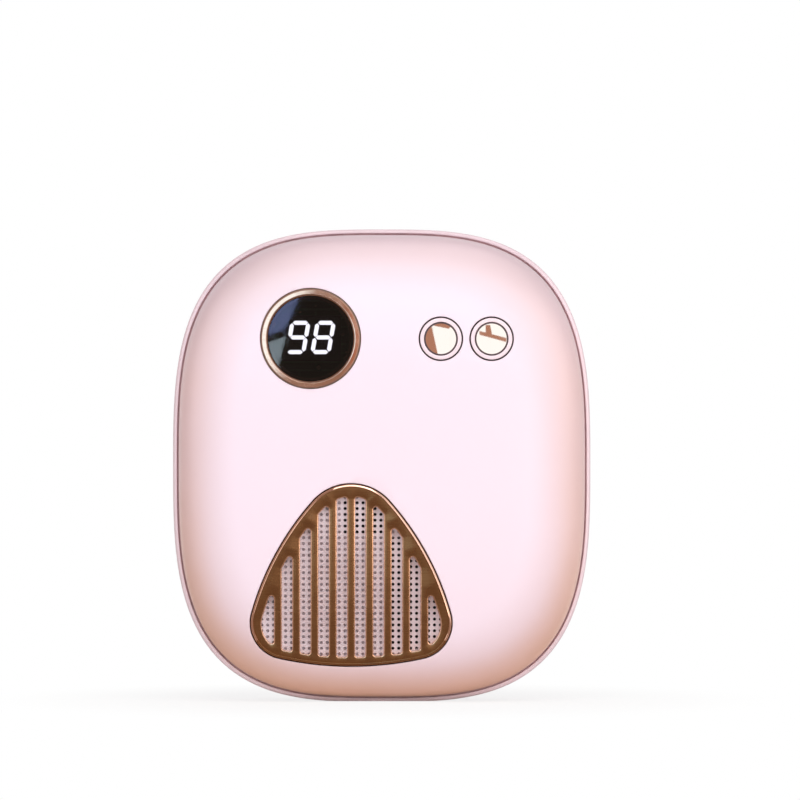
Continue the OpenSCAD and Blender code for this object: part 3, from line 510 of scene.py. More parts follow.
class Finish:
    """Node material that is built up from patterns on Object coordinates."""

    def __init__(self, name, colour, metallic=0.0, roughness=0.5, **sockets):
        self.material = node_material(name)
        self.tree = self.material.node_tree
        self.nodes = self.tree.nodes
        self.link = self.tree.links.new
        self.shader = self.nodes["Principled BSDF"]
        self.colour = self.rgb(colour)
        self.shader.inputs["Metallic"].default_value = metallic
        self.shader.inputs["Roughness"].default_value = roughness
        for keyword, value in sockets.items():
            socket = keyword.replace("_", " ").title().replace("Ior", "IOR")
            self.shader.inputs[socket].default_value = value
        self.where = self.nodes.new("ShaderNodeTexCoord").outputs["Object"]

    def rgb(self, colour):
        """Socket that holds a colour."""
        node = self.nodes.new("ShaderNodeRGB")
        node.outputs[0].default_value = (*colour, 1)
        return node.outputs[0]

    def stretched(self, scale, turn=(0, 0, 0)):
        """Object coordinates, scaled along each axis."""
        mapping = self.nodes.new("ShaderNodeMapping")
        mapping.inputs["Scale"].default_value = scale
        mapping.inputs["Rotation"].default_value = turn
        self.link(self.where, mapping.inputs["Vector"])
        return mapping.outputs["Vector"]

    def pattern(self, kind, where=None, output="Fac", **sockets):
        """Texture node's output, on Object coordinates unless told otherwise."""
        node = self.nodes.new(f"ShaderNodeTex{kind}")
        self.link(where or self.where, node.inputs["Vector"])
        for socket, value in sockets.items():
            node.inputs[socket].default_value = value
        return node.outputs[output]

    def graded(self, value, *limits):
        """A value taken smoothly from one range to another."""
        return range_node(self.tree, value, *limits)

    def maths(self, operation, *values):
        """Maths on values, each a number or a socket."""
        return maths_node(self.tree, operation, *values)

    def mix(self, factor, other):
        """Mixes another colour into the finish by a factor from 0 to 1."""
        node = self.nodes.new("ShaderNodeMix")
        node.data_type = "RGBA"
        self.link(factor, node.inputs[0])
        self.link(self.colour, node.inputs[6])
        self.link(self.rgb(other), node.inputs[7])
        self.colour = node.outputs[2]

    def relief(self, height, strength, distance):
        """Fine relief from a pattern, its distance in metres."""
        node = self.nodes.new("ShaderNodeBump")
        node.inputs["Strength"].default_value = strength
        node.inputs["Distance"].default_value = distance
        self.link(height, node.inputs["Height"])
        self.link(node.outputs["Normal"], self.shader.inputs["Normal"])

    def rough(self, pattern, smoothest, roughest, top=0.7):
        """Takes the roughness from the middle range of a pattern."""
        factor = self.graded(pattern, 0.3, top, smoothest, roughest)
        self.link(factor, self.shader.inputs["Roughness"])

    def done(self):
        """The material, its colour joined to its shader."""
        self.link(self.colour, self.shader.inputs["Base Color"])
        return self.material


def outline_share(finish):
    """Share of the front cover's outline that a point lies at, with its height and its depth."""
    split = finish.nodes.new("ShaderNodeSeparateXYZ")
    finish.link(finish.where, split.inputs[0])
    total = None
    for output, middle, half in (("X", 0.0, FRONT_A), ("Z", MID_Z, FRONT_B)):
        offset = finish.maths("SUBTRACT", split.outputs[output], middle)
        part = finish.maths("ABSOLUTE", finish.maths("DIVIDE", offset, half))
        part = finish.maths("POWER", part, OUTLINE_POWER)
        total = part if total is None else finish.maths("ADD", total, part)
    return finish.maths("POWER", total, 1 / OUTLINE_POWER), split.outputs["Z"], split.outputs["Y"]


# Finishes, the lacquers' painted edge shades and the height from which the upper half's painted highlight
# and shade grow

ROSE_EDGE_SHADE = (0.72, 0.485, 0.455)
TAN = (0.75, 0.43, 0.29)
MAUVE_TOP_SHADE = (0.62, 0.47, 0.50)
UPPER_Z = 60 * MM


def satin(finish):
    """Fine flake and faint clouds of a satin lacquer."""
    cloud = finish.pattern("Noise", Scale=55, Detail=3)
    finish.mix(finish.graded(cloud, 0.4, 0.75, 0, 0.06), (0.93, 0.80, 0.95))
    flake = finish.pattern("Noise", Scale=5200, Detail=1)
    finish.rough(flake, 0.40, 0.48)
    finish.relief(flake, 0.05, 0.02 * MM)
    return finish.done()


def pearl_lacquer():
    """Satin pink lacquer on the front, pearl in the middle, with a painted highlight towards the top and
    painted shade towards the edges: dusky pink all round, tan below and mauve above.
    """
    finish = Finish("pearl_pink_lacquer", (0.985, 0.815, 0.895), metallic=0.1, roughness=0.44,
                    coat_weight=0.1, coat_roughness=0.3)
    share, height, _ = outline_share(finish)
    # Painted highlight: lavender white growing towards the top
    finish.mix(finish.graded(height, UPPER_Z, 92 * MM, 0, 0.6), (0.98, 0.88, 0.99))
    # Painted shade: dusky pink towards every edge, a little less near the top
    rose = finish.maths("MULTIPLY", finish.graded(share, 0.7, 1.02, 0, 0.9),
                        finish.graded(height, UPPER_Z, 94 * MM, 1, 0.75))
    finish.mix(rose, ROSE_EDGE_SHADE)
    # Painted shade: tan towards the edges, growing downwards below the upper half
    tan = finish.maths("MULTIPLY", finish.graded(share, 0.84, 1.02, 0, 0.9),
                       finish.graded(height, UPPER_Z, 0))
    finish.mix(tan, TAN)
    # Painted shade: mauve towards the edges, growing towards the top
    lip = finish.maths("MULTIPLY", finish.graded(share, 0.85, 1.0),
                       finish.graded(height, UPPER_Z, 90 * MM))
    finish.mix(lip, MAUVE_TOP_SHADE)
    return satin(finish)


def rim_lacquer():
    """Same lacquer on the rear cover and the keys, with painted shade only on the rim: dusky pink where it
    turns outwards and mauve on its front edge towards the top.
    """
    finish = Finish("pearl_pink_rim_lacquer", (0.96, 0.78, 0.83), metallic=0.1, roughness=0.44,
                    coat_weight=0.1, coat_roughness=0.3)
    share, height, depth = outline_share(finish)
    near_rim = finish.graded(depth, -4 * MM, 0, 1, 0)
    # Painted shade: dusky pink where the rim turns outwards
    shoulder_shade = finish.maths("MULTIPLY", near_rim, finish.graded(share, 1.014, 1.03, 0, 0.7))
    finish.mix(shoulder_shade, (0.60, 0.44, 0.45))
    # Painted shade: mauve on the rim's front edge, growing towards the top
    crest_shade = finish.maths("MULTIPLY", near_rim, finish.graded(share, 1.0, 1.012))
    crest_shade = finish.maths("MULTIPLY", crest_shade, finish.graded(height, 78 * MM, 93 * MM, 0, 0.55))
    finish.mix(crest_shade, MAUVE_TOP_SHADE)
    return satin(finish)


def rose_gold(name, colour, streak_colour, roughness):
    """Plated metal with fine polishing lines across it."""
    finish = Finish(name, colour, metallic=1.0, roughness=roughness, coat_weight=0.25, coat_roughness=0.08)
    lines = finish.pattern("Noise", finish.stretched((160, 160, 5200)), Scale=1, Detail=3, Roughness=0.6)
    finish.mix(finish.graded(lines, 0.45, 0.75, 0, 0.5), streak_colour)
    blotch = finish.pattern("Noise", Scale=330, Detail=2)
    finish.rough(blotch, roughness - 0.03, roughness + 0.05)
    finish.relief(lines, 0.05, 0.01 * MM)
    return finish.done()


def disc_plating():
    """Mirror plating of the keys' discs."""
    finish = Finish("pale_rose_mirror", (0.97, 0.90, 0.84), metallic=1.0, roughness=0.02)
    wipe = finish.pattern("Noise", finish.stretched((900, 900, 300)), Scale=1, Detail=4, Roughness=0.6)
    finish.mix(finish.graded(wipe, 0.5, 0.8, 0, 0.2), (0.93, 0.82, 0.73))
    finish.rough(wipe, 0.015, 0.03, 0.8)
    return finish.done()


def smoked_lens():
    """Smoked polished lens, through which lit figures show."""
    finish = Finish("smoked_lens", (0.14, 0.135, 0.14), roughness=0.02, transmission_weight=1.0, ior=1.4)
    film = finish.pattern("Noise", Scale=600, Detail=2)
    finish.mix(finish.graded(film, 0.4, 0.8, 0, 0.1), (0.12, 0.12, 0.13))
    finish.rough(film, 0.01, 0.03, 0.8)
    return finish.done()


def lit_figures():
    """White light of the figures, a little uneven."""
    finish = Finish("lit_white_figures", (0.9, 0.92, 1.0), roughness=0.4, emission_strength=8.3)
    uneven = finish.pattern("Noise", Scale=900, Detail=1)
    finish.mix(finish.graded(uneven, 0.3, 0.7, 0, 0.3), (0.98, 0.98, 1.0))
    finish.link(finish.colour, finish.shader.inputs["Emission Color"])
    return finish.done()


def moulded(name, colour, other, roughness=0.5, grain=1500):
    """Moulded plastic or ceramic with a fine grain."""
    finish = Finish(name, colour, roughness=roughness)
    cloud = finish.pattern("Noise", Scale=grain / 4, Detail=3, Roughness=0.55)
    finish.mix(finish.graded(cloud, 0.35, 0.75), other)
    fine = finish.pattern("Noise", Scale=grain, Detail=2)
    finish.rough(fine, roughness - 0.06, roughness + 0.08)
    finish.relief(fine, 0.2, 0.03 * MM)
    return finish.done()


def brushed(name, colour, other, roughness=0.32):
    """Bare metal with brushing along its width."""
    finish = Finish(name, colour, metallic=1.0, roughness=roughness)
    lines = finish.pattern("Noise", finish.stretched((120, 4000, 4000)), Scale=1, Detail=3, Roughness=0.6)
    finish.mix(finish.graded(lines, 0.35, 0.75), other)
    finish.rough(lines, roughness - 0.05, roughness + 0.1)
    finish.relief(lines, 0.1, 0.02 * MM)
    return finish.done()


def painted_screen():
    """Satin grey paint on the perforated screen."""
    finish = Finish("satin_grey_screen", (0.84, 0.73, 0.79), roughness=0.42)
    cloud = finish.pattern("Noise", Scale=160, Detail=3, Roughness=0.55)
    finish.mix(finish.graded(cloud, 0.3, 0.75, 0, 0.6), (0.90, 0.80, 0.86))
    fine = finish.pattern("Noise", Scale=2600, Detail=2)
    finish.rough(fine, 0.38, 0.5)
    finish.relief(fine, 0.12, 0.02 * MM)
    return finish.done()


def felt(name, colour, other):
    """Felt or foam: open cells and loose fibres."""
    finish = Finish(name, colour, roughness=0.95, sheen_weight=0.3, sheen_roughness=0.6)
    cells = finish.pattern("Voronoi", output="Distance", Scale=1400)
    finish.mix(finish.graded(cells, 0.1, 0.8), other)
    fibres = finish.pattern("Noise", finish.stretched((900, 2400, 900)), Scale=1, Detail=4, Roughness=0.7)
    finish.relief(finish.maths("ADD", cells, fibres), 0.5, 0.15 * MM)
    return finish.done()


def heating_film():
    """Amber film with a printed heating track that winds across it."""
    finish = Finish("amber_heating_film", (0.62, 0.27, 0.05), roughness=0.28,
                    coat_weight=0.5, coat_roughness=0.1)
    wave = finish.pattern("Wave", Scale=330, Distortion=1.5, Detail=1)
    track = finish.graded(wave, 0.55, 0.7)
    finish.mix(track, (0.30, 0.13, 0.03))
    finish.relief(track, 0.3, 0.04 * MM)
    return finish.done()


def cell_foil():
    """Laminated foil round the cell, a little crinkled."""
    finish = Finish("cell_foil", (0.62, 0.63, 0.65), metallic=0.9, roughness=0.35)
    crease = finish.pattern("Voronoi", output="Distance", Scale=220)
    cloud = finish.pattern("Noise", Scale=240, Detail=5, Roughness=0.6)
    finish.mix(finish.graded(cloud, 0.35, 0.7), (0.52, 0.53, 0.56))
    finish.rough(cloud, 0.28, 0.45)
    finish.relief(finish.maths("ADD", crease, cloud), 0.3, 0.15 * MM)
    return finish.done()


def circuit_board():
    """Solder mask with copper tracks and vias under it."""
    finish = Finish("green_solder_mask", (0.02, 0.16, 0.06), roughness=0.3,
                    coat_weight=0.4, coat_roughness=0.1)
    bricks = finish.pattern("Brick", finish.stretched((260, 260, 260), (math.pi / 2, 0, 0)),
                            **{"Scale": 1, "Mortar Size": 0.06, "Brick Width": 1.7, "Row Height": 0.45})
    tracks = finish.graded(bricks, 0.3, 0.9)
    finish.mix(tracks, (0.06, 0.30, 0.12))
    vias = finish.pattern("Voronoi", output="Distance", Scale=380)
    finish.mix(finish.graded(vias, 0.2, 0.14), (0.70, 0.52, 0.22))
    finish.relief(tracks, 0.3, 0.03 * MM)
    return finish.done()


def wire_sleeve():
    """Soft red sleeve of the wires, a little mottled."""
    finish = Finish("red_wire_sleeve", (0.50, 0.04, 0.03), roughness=0.38, subsurface_weight=0.1)
    mottle = finish.pattern("Noise", Scale=700, Detail=2)
    finish.mix(finish.graded(mottle, 0.35, 0.75), (0.66, 0.09, 0.07))
    finish.rough(mottle, 0.32, 0.48)
    finish.relief(mottle, 0.15, 0.03 * MM)
    return finish.done()


lacquer = pearl_lacquer()
rim_paint = rim_lacquer()
# Copies of one plated gold: the trim as it is, a darker copy for the bars, painted shade, and a lighter
# copy for the slot walls, painted highlight
trim = rose_gold("rose_gold_trim", (0.86, 0.55, 0.42), (0.74, 0.42, 0.30), 0.08)
shaded_bar_metal = rose_gold("shaded_brown_gold_bars", (0.36, 0.175, 0.075), (0.22, 0.095, 0.036), 0.27)
lit_wall_metal = rose_gold("lit_brown_gold_slot_walls", (0.84, 0.54, 0.38), (0.60, 0.34, 0.22), 0.25)
disc_metal = disc_plating()
lens_glass = smoked_lens()
figures = lit_figures()
screen_paint = painted_screen()
# Painted shade: dark lacquer in the openings' walls and on the keys' and discs' edges, dark brown on the
# display ring's edge, mauve in the parting groove
gap_shade = moulded("shaded_gap_lacquer", (0.13, 0.075, 0.08), (0.09, 0.05, 0.055), 0.6)
ring_edge = moulded("shaded_ring_edge", (0.26, 0.13, 0.085), (0.20, 0.10, 0.065), 0.45)
groove_shade = moulded("mauve_groove_shade", (0.76, 0.54, 0.56), (0.66, 0.45, 0.47), 0.6)

# Finishes of the CAD nodes that stay
node_finishes = {
    screen_paint: ["perforated_screen"],
    moulded("matte_black_plastic", (0.018, 0.018, 0.02), (0.035, 0.034, 0.038), 0.5):
        ["display_module", "power_switch", "heat_switch", "port_tongue", "power_inductor",
         "control_chip"],
    moulded("ivory_plastic", (0.78, 0.75, 0.67), (0.70, 0.67, 0.58), 0.42):
        ["power_plunger", "heat_plunger", "battery_connector", "front_heater_connector",
         "rear_heater_connector"],
    moulded("fired_ceramic", (0.50, 0.34, 0.20), (0.38, 0.25, 0.15), 0.55, 2600):
        ["board_capacitors", "thermistor"],
    brushed("brushed_aluminium", (0.72, 0.72, 0.74), (0.60, 0.60, 0.62)): ["rear_heat_plate"],
    # Painted shade: the front heat plate is black, for the dark inside seen through the screen's vents
    brushed("black_shade_plate", (0.03, 0.03, 0.033), (0.05, 0.05, 0.055), 0.4): ["front_heat_plate"],
    brushed("nickel_plated_steel", (0.66, 0.65, 0.63), (0.55, 0.54, 0.52), 0.25):
        ["board_screws", "charging_port"],
    felt("grey_felt_pad", (0.62, 0.55, 0.57), (0.50, 0.44, 0.46)): ["screen_backing"],
    felt("grey_foam", (0.55, 0.55, 0.56), (0.42, 0.42, 0.44)): ["front_foam", "rear_foam"],
    heating_film(): ["front_heating_film", "rear_heating_film"],
    cell_foil(): ["battery_cell"],
    circuit_board(): ["main_board", "protection_board"],
    wire_sleeve(): ["battery_leads", "front_heater_leads", "rear_heater_leads"],
}
for material, nodes in node_finishes.items():
    for node in nodes:
        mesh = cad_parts[node].data
        mesh.materials.clear()
        mesh.materials.append(material)


# Covers

def grille_mouth(grow):
    """Outline of the grille's opening, grown by a distance."""
    return Pick(GRILLE_GAP + grow).points()


def display_mouth(grow):
    """Outline of the display's opening, grown by a distance."""
    return circle(DISPLAY_X, DISPLAY_Z, BEZEL_R + DISPLAY_GAP + grow)


def key_mouth(grow, x):
    """Outline of a key's opening, grown by a distance."""
    return circle(x, KEY_Z, KEY_R + KEY_GAP + grow)


def front_cover():
    """Crowned front shell with its tongue, and openings for the display, the keys and the grille."""
    tongue_y = SHOULDER_Y + TONGUE_LENGTH
    outer_a, outer_b = TONGUE_A + TONGUE_THICKNESS, TONGUE_B + TONGUE_THICKNESS
    rings = crown_rings(FRONT_A, FRONT_B, PART_Y, -CROWN_RISE, FRONT_TIP_SHARE, FRONT_STEPS)
    rings += [outline(FRONT_A, FRONT_B, SHOULDER_Y), outline(outer_a, outer_b, SHOULDER_Y),
              outline(outer_a, outer_b, tongue_y), outline(TONGUE_A, TONGUE_B, tongue_y)]
    rings += reversed(crown_rings(TONGUE_A, TONGUE_B, PART_Y, WALL - CROWN_RISE, FLAT_SHARE,
                                  FRONT_CAVITY_STEPS))
    bm = bmesh.new()
    # The bands in the parting groove get painted shade
    loft(bm, rings, [FRONT_STEPS, FRONT_STEPS + 1])
    piece = finished(bm, "front_shell", lacquer, groove_shade, smooth=False)
    cutters = [front_cutter("grille_cutter", grille_mouth, GRILLE_MOUTH_ROUND),
               front_cutter("display_cutter", display_mouth, DISPLAY_MOUTH_ROUND)]
    for name, x in KEY_PLACES.items():
        cutters.append(front_cutter(f"{name}_cutter", key_mouth, KEY_MOUTH_ROUND, x))
    cut(piece, cutters)
    dress(piece, "case", "front_cover")


def rear_cover():
    """Rear shell: a round rim at the parting line, a straight band and a crowned back."""
    band_y = HALF_DEPTH - CROWN_RISE * crown(FLAT_SHARE)
    rings = crown_rings(BORE_A, BORE_B, band_y, CROWN_RISE - WALL, FLAT_SHARE, BACK_CAVITY_STEPS)
    rings += [outline(BORE_A, BORE_B, SHOULDER_Y), outline(RIM_A, RIM_B, SHOULDER_Y)]
    rings += [outline(RIM_A + out * MM, RIM_B + out * MM, PART_Y + depth * MM)
              for out, depth in RIM_INNER_EDGE]
    for i in range(RIM_STEPS + 1):
        turn = math.pi / 2 * i / RIM_STEPS
        inset = RIM_ROUND * (1 - math.sin(turn))
        rings.append(outline(CASE_A - inset, CASE_B - inset, PART_Y + RIM_ROUND * (1 - math.cos(turn))))
    rings += reversed(crown_rings(CASE_A, CASE_B, band_y, CROWN_RISE, FLAT_SHARE, BACK_STEPS))
    bm = bmesh.new()
    # The rim's inner bands in the parting groove get painted shade
    loft(bm, rings, [BACK_CAVITY_STEPS + 1, BACK_CAVITY_STEPS + 2])
    piece = finished(bm, "rear_shell", rim_paint, groove_shade, smooth=False)
    cut(piece, [port_cutter()])
    dress(piece, "case", "rear_cover")


def port_cutter():
    """Cutter for the charging port's opening in the side, flared at its mouth."""
    rings = []
    for out, grow in PORT_MOUTH:
        ring = []
        radius = PORT_R + PORT_GAP + grow * MM
        for side, start in ((1, 0), (-1, math.pi)):
            for i in range(PORT_STEPS + 1):
                turn = start + math.pi * i / PORT_STEPS
                z = PORT_Z + side * PORT_HALF_STRAIGHT + radius * math.sin(turn)
                ring.append(Vector((side_at(z) + out * MM, PORT_Y + radius * math.cos(turn), z)))
        rings.append(ring)
    bm = bmesh.new()
    loft(bm, rings)
    return finished(bm, "port_cutter", rim_paint, smooth=False)


# Display and keys

def display_bezel():
    """Ring with a rounded face and a sleeve through the cover."""
    inner = BEZEL_R - BEZEL_FACE + DISPLAY_GAP
    lens_back = LENS_RECESS + LENS_THICKNESS - BEZEL_PROUD
    profile = [(SLEEVE_BORE_R, lens_back), (SLEEVE_BORE_R, SLEEVE_DEPTH), (SLEEVE_R, SLEEVE_DEPTH),
               (SLEEVE_R, BEZEL_SEAT), (BEZEL_R, BEZEL_SEAT)]
    profile += [(BEZEL_R - inset * MM, depth * MM) for inset, depth in BEZEL_OUTER_EDGE]
    profile += [(inner + out * MM, depth * MM) for out, depth in BEZEL_INNER_EDGE]
    bm = spun(profile + [(inner, lens_back)])
    # Painted shade: a dark brown band on the ring's outer edge
    shade(bm, BEZEL_R - BEZEL_EDGE_BAND, 2 * BEZEL_R)
    settle(bm, DISPLAY_X, DISPLAY_Z, BEZEL_SEAT)
    piece = finished(bm, "display_ring", trim, ring_edge)
    dress(piece, "case", "display_bezel")


def display_lens():
    """Smoked lens with a slight dome and a rounded edge."""
    radius = BEZEL_R - BEZEL_FACE
    face = LENS_RECESS - BEZEL_PROUD
    back = face + LENS_THICKNESS - LENS_CLEARANCE
    profile = [(0, back), (radius, back)]
    profile += [(radius - inset * MM, face + depth * MM) for inset, depth in LENS_EDGE]
    for share in [1, LENS_HOLDING_SHARE] + [i / LENS_STEPS for i in range(LENS_STEPS - 1, -1, -1)]:
        profile.append(((radius - LENS_FACE_INSET) * share,
                        face + LENS_FACE_DEPTH - LENS_DOME * (1 - share ** 2)))
    bm = spun(profile, closed=False)
    settle(bm, DISPLAY_X, DISPLAY_Z, back)
    piece = finished(bm, "display_window", lens_glass)
    dress(piece, "case", "display_lens")


def lit_bar(x, z, length, turn):
    """Outline of one lit bar with pointed ends, as places across and up."""
    way = Vector((math.cos(turn), math.sin(turn)))
    side = Vector((-way.y, way.x)) * STROKE / 2
    reach = length / 2 - STROKE / 8
    square = way * (reach - STROKE / 2)
    corners = (way * reach, square + side, side - square, way * -reach, -side - square, square - side)
    return [Vector((x, z)) + corner for corner in corners]


def display_figures():
    """The figures 98 as slanted bars of light behind the lens."""
    low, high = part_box("digit_segments")
    middle_z = high.z - MID_Z - FIGURE_HEIGHT / 2
    across = FIGURE_WIDTH - STROKE
    upwards = (FIGURE_HEIGHT - STROKE) / 2
    lean = math.tan(FIGURE_SLANT)
    level_bars = [(0, level, across, 0) for level in (1, 0, -1)]
    upright_bars = [(side, level, upwards / math.cos(FIGURE_SLANT), math.pi / 2 - FIGURE_SLANT)
                    for side in (1, -1) for level in (0.5, -0.5)]
    bm = bmesh.new()
    for figure, bars in ((-0.5, level_bars + upright_bars[:3]), (0.5, level_bars + upright_bars)):
        for side, level, length, turn in bars:
            x = DISPLAY_X + figure * FIGURE_PITCH + side * across / 2 + level * upwards * lean
            bar = lit_bar(x, middle_z + level * upwards, length, turn)
            loft(bm, [[Vector((p.x, y, p.y)) for p in bar] for y in (low.y, high.y)])
    piece = finished(bm, "lit_figures", figures)
    dress(piece, "case", "digit_segments")


def key(name, x):
    """Press key: round cap with a flange and a stem, and a seat for its disc."""
    stem_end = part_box(name)[1].y - front_y(x, KEY_Z)
    flange = flange_depth(x)
    flange_back = flange + KEY_FLANGE_THICKNESS
    seat_r = DISC_R + DISC_GAP
    seat = DISC_THICKNESS - KEY_PROUD
    profile = [(0, seat), (seat_r, seat)]
    profile += [(seat_r + out * MM, depth * MM - KEY_PROUD) for out, depth in KEY_SEAT_EDGE]
    profile += [(KEY_R - inset * MM, depth * MM - KEY_PROUD) for inset, depth in KEY_EDGE]
    profile += [(KEY_R, flange), (KEY_FLANGE_R, flange), (KEY_FLANGE_R, flange_back),
                (KEY_STEM_R, flange_back), (KEY_STEM_R, stem_end), (0, stem_end)]
    bm = spun(profile, closed=False)
    soften(bm, KEY_BEVEL)
    shade(bm, 0, seat_r + KEY_SEAT_BAND)
    shade(bm, KEY_R - KEY_EDGE_BAND, 2 * KEY_R)
    settle(bm, x, KEY_Z, flange)
    piece = finished(bm, f"{name}_cap", rim_paint, gap_shade)
    dress(piece, name, name)


def flange_depth(x):
    """Depth of a key's flange behind the crown at the key's middle."""
    deepest = -HALF_DEPTH
    for p in circle(x, KEY_Z, KEY_FLANGE_R, FLANGE_POINTS):
        share = share_at(p.x, p.y, TONGUE_A, TONGUE_B)
        deepest = max(deepest, PART_Y - (CROWN_RISE - WALL) * crown(share))
    return KEY_GAP / 2 + deepest - front_y(x, KEY_Z)


def key_disc(name, x):
    """Mirror disc with a slight dome in a key."""
    face = -KEY_PROUD
    seat = DISC_THICKNESS - KEY_PROUD
    profile = [(0, seat), (DISC_R, seat), (DISC_R, face + DISC_EDGE_DEPTH)]
    for i in range(DISC_STEPS + 1):
        share = 1 - i / DISC_STEPS
        profile.append(((DISC_R - DISC_BEVEL) * share, face + DISC_BEVEL - DISC_DOME * (1 - share ** 2)))
    bm = spun(profile, closed=False)
    shade(bm, DISC_R - DISC_EDGE_BAND, DISC_R)
    settle(bm, x, KEY_Z, DISC_THICKNESS)
    piece = finished(bm, f"{name}_mirror_disc", disc_metal, gap_shade)
    dress(piece, name, f"{name}_disc")


# Grille

def slot_outline(number):
    """Outline of one slot, every corner rounded, as places across and up from the middle of the front."""
    middle = (number - (SLOT_COUNT - 1) / 2) * SLOT_PITCH
    core = Pick(-SLOT_CORNER_INSET - SLOT_ROUND, -SLOT_SIDE_INSET - SLOT_ROUND, SLOT_FIELD_DROP)
    reach = core.corner.x + core.corner_r
    left = -reach if number == 0 else middle - SLOT_WIDTH / 2 + SLOT_ROUND
    right = reach if number == SLOT_COUNT - 1 else middle + SLOT_WIDTH / 2 - SLOT_ROUND
    spots = []
    for i in range(SLOT_SPOTS + 1):
        x = left + (right - left) * i / SLOT_SPOTS
        spots += [Vector((x + GRILLE_X, z)) for z in core.ends(x)]
    turns = [math.tau * (i + 0.5) / SLOT_TURNS for i in range(SLOT_TURNS)]
    ways = [Vector((math.cos(turn), math.sin(turn))) for turn in turns]
    corners = [max(spots, key=way.dot) + SLOT_ROUND * way for way in ways]
    points = []
    for corner, after in zip(corners, corners[1:] + corners[:1]):
        count = max(1, int((after - corner).length / SLOT_SPACING))
        points += [corner.lerp(after, i / count) for i in range(count)]
    return points


def inset_points(points, inset):
    """Closed outline moved inwards by a distance."""
    count = len(points)
    area = sum(points[i - 1].cross(points[i]) for i in range(count))
    sign = 1 if area > 0 else -1
    moved = []
    for i, point in enumerate(points):
        way = (points[(i + 1) % count] - points[i - 1]).normalized()
        moved.append(point + sign * inset * Vector((-way.y, way.x)))
    return moved


def grille():
    """Raised round rim, bars that follow the crown, and slots with chamfered edges."""
    bm = bmesh.new()
    rings = [on_front(Pick(grow * MM).points(), out * MM) for grow, out in RIM_PROFILE]
    rings.append([Vector((p.x, seat_y(p.y, GRILLE_THICKNESS), p.y)) for p in Pick().points()])
    rim_points = len(rings[0])
    front_edges, back_edges, rim_faces = sweep(bm, rings)
    wall_faces = []
    for number in range(SLOT_COUNT):
        points = slot_outline(number)
        rings = [on_front(inset_points(points, inset * MM), -BAR_RECESS - depth * MM)
                 for inset, depth in SLOT_WALL]
        rings.append([Vector((p.x, seat_y(p.z, GRILLE_THICKNESS), p.z)) for p in rings[-1]])
        mouth, end, faces = sweep(bm, rings)
        front_edges += mouth
        back_edges += end
        wall_faces += faces
    bmesh.ops.triangle_fill(bm, edges=front_edges, use_beauty=True, use_dissolve=False, normal=(0, -1, 0))
    bmesh.ops.triangle_fill(bm, edges=back_edges, use_beauty=True, use_dissolve=False, normal=(0, 1, 0))
    # Painted shade: the darker metal on the bars, on the rim's outer flank and on the rim's top below a
    # height. Painted highlight: the lighter metal on the slot walls.
    for face in bm.faces:
        face.material_index = 1
    for face in rim_faces[:RIM_CREST_BANDS * rim_points]:
        face.material_index = int(face.calc_center_median().z < RIM_SHADED_FOOT_Z)
    for face in wall_faces:
        face.material_index = 2
    bmesh.ops.recalc_face_normals(bm, faces=bm.faces)
    piece = finished(bm, "grille_plate", trim, shaded_bar_metal, lit_wall_metal)
    dress(piece, "case", "grille")


front_cover()
rear_cover()
display_bezel()
display_lens()
display_figures()
for key_name, key_x in KEY_PLACES.items():
    key(key_name, key_x)
    key_disc(key_name, key_x)
grille()


# Studio: its colours, the ranges over which they fade to white, and the photograph's view

WHITE = (1.0, 1.0, 1.0)
SOFT_LIGHT = (0.97, 0.96, 0.98)
SOFT_STRENGTH = 0.55
FLOOR_COLOUR = (0.88, 0.86, 0.85)
ROOM_COLOUR = (0.34, 0.25, 0.20)
WHITE_CARD = (1.08, 1.08, 1.08)
BROWN_CARD = (0.445, 0.21, 0.14)
CREAM_CARD = (1.2, 1.7, 2.0)
PEACH_CARD = (3.2, 2.5, 1.9)
UPPER_PANE = (2.9, 3.6, 6.8)
LOWER_PANE = (6.2, 7.4, 8.2)
CARD_DISTANCE = 1
CARD_STEP = 0.004
RIGHT_LIGHT = 0.45
FLOOR_HALF = 4
FADE_ON_FLOOR = (0.0, 0.06)
FADE_IN_ROOM = (-0.35, 0.1)
FADE_ROUND_OBJECT = (0.035, 0.085, 0.8, 1)
MIDDLE = Vector((0, 0, MID_Z))
CAMERA_DISTANCE = 1.333
CAMERA_AZIMUTH = math.radians(-0.6)
CAMERA_RISE = math.radians(0.7)
SENSOR_WIDTH = 36
FRAME_WIDTH = 0.16
IMAGE_SIZE = 800
OBJECT_PIXEL = (381.55, 465.5)


def blended(tree, *sockets):
    """Shader mixed by a factor from two."""
    node = tree.nodes.new("ShaderNodeMixShader")
    for socket, value in zip(node.inputs, sockets):
        tree.links.new(value, socket)
    return node.outputs[0]


def glow(tree, colour):
    """Plain emission in a colour."""
    node = tree.nodes.new("ShaderNodeEmission")
    node.inputs["Color"].default_value = (*colour, 1)
    return node.outputs[0]


def surroundings(tree, output, fade):
    """White behind the object and at its right, a warm dim room in front, and the rays that see it."""
    where = tree.nodes.new("ShaderNodeTexCoord").outputs[output]
    split = tree.nodes.new("ShaderNodeSeparateXYZ")
    tree.links.new(where, split.inputs[0])
    aside = maths_node(tree, "MULTIPLY", split.outputs["X"], RIGHT_LIGHT)
    behind = range_node(tree, maths_node(tree, "ADD", split.outputs["Y"], aside), *fade)
    path = tree.nodes.new("ShaderNodeLightPath")
    shiny = maths_node(tree, "ADD", path.outputs["Is Glossy Ray"], path.outputs["Is Transmission Ray"])
    seen = blended(tree, behind, glow(tree, ROOM_COLOUR), glow(tree, WHITE))
    return where, seen, shiny, path.outputs["Is Camera Ray"]


def staged(bm, name, material):
    """Flat object of the studio."""
    plate = built(bm, name, material)
    return plate


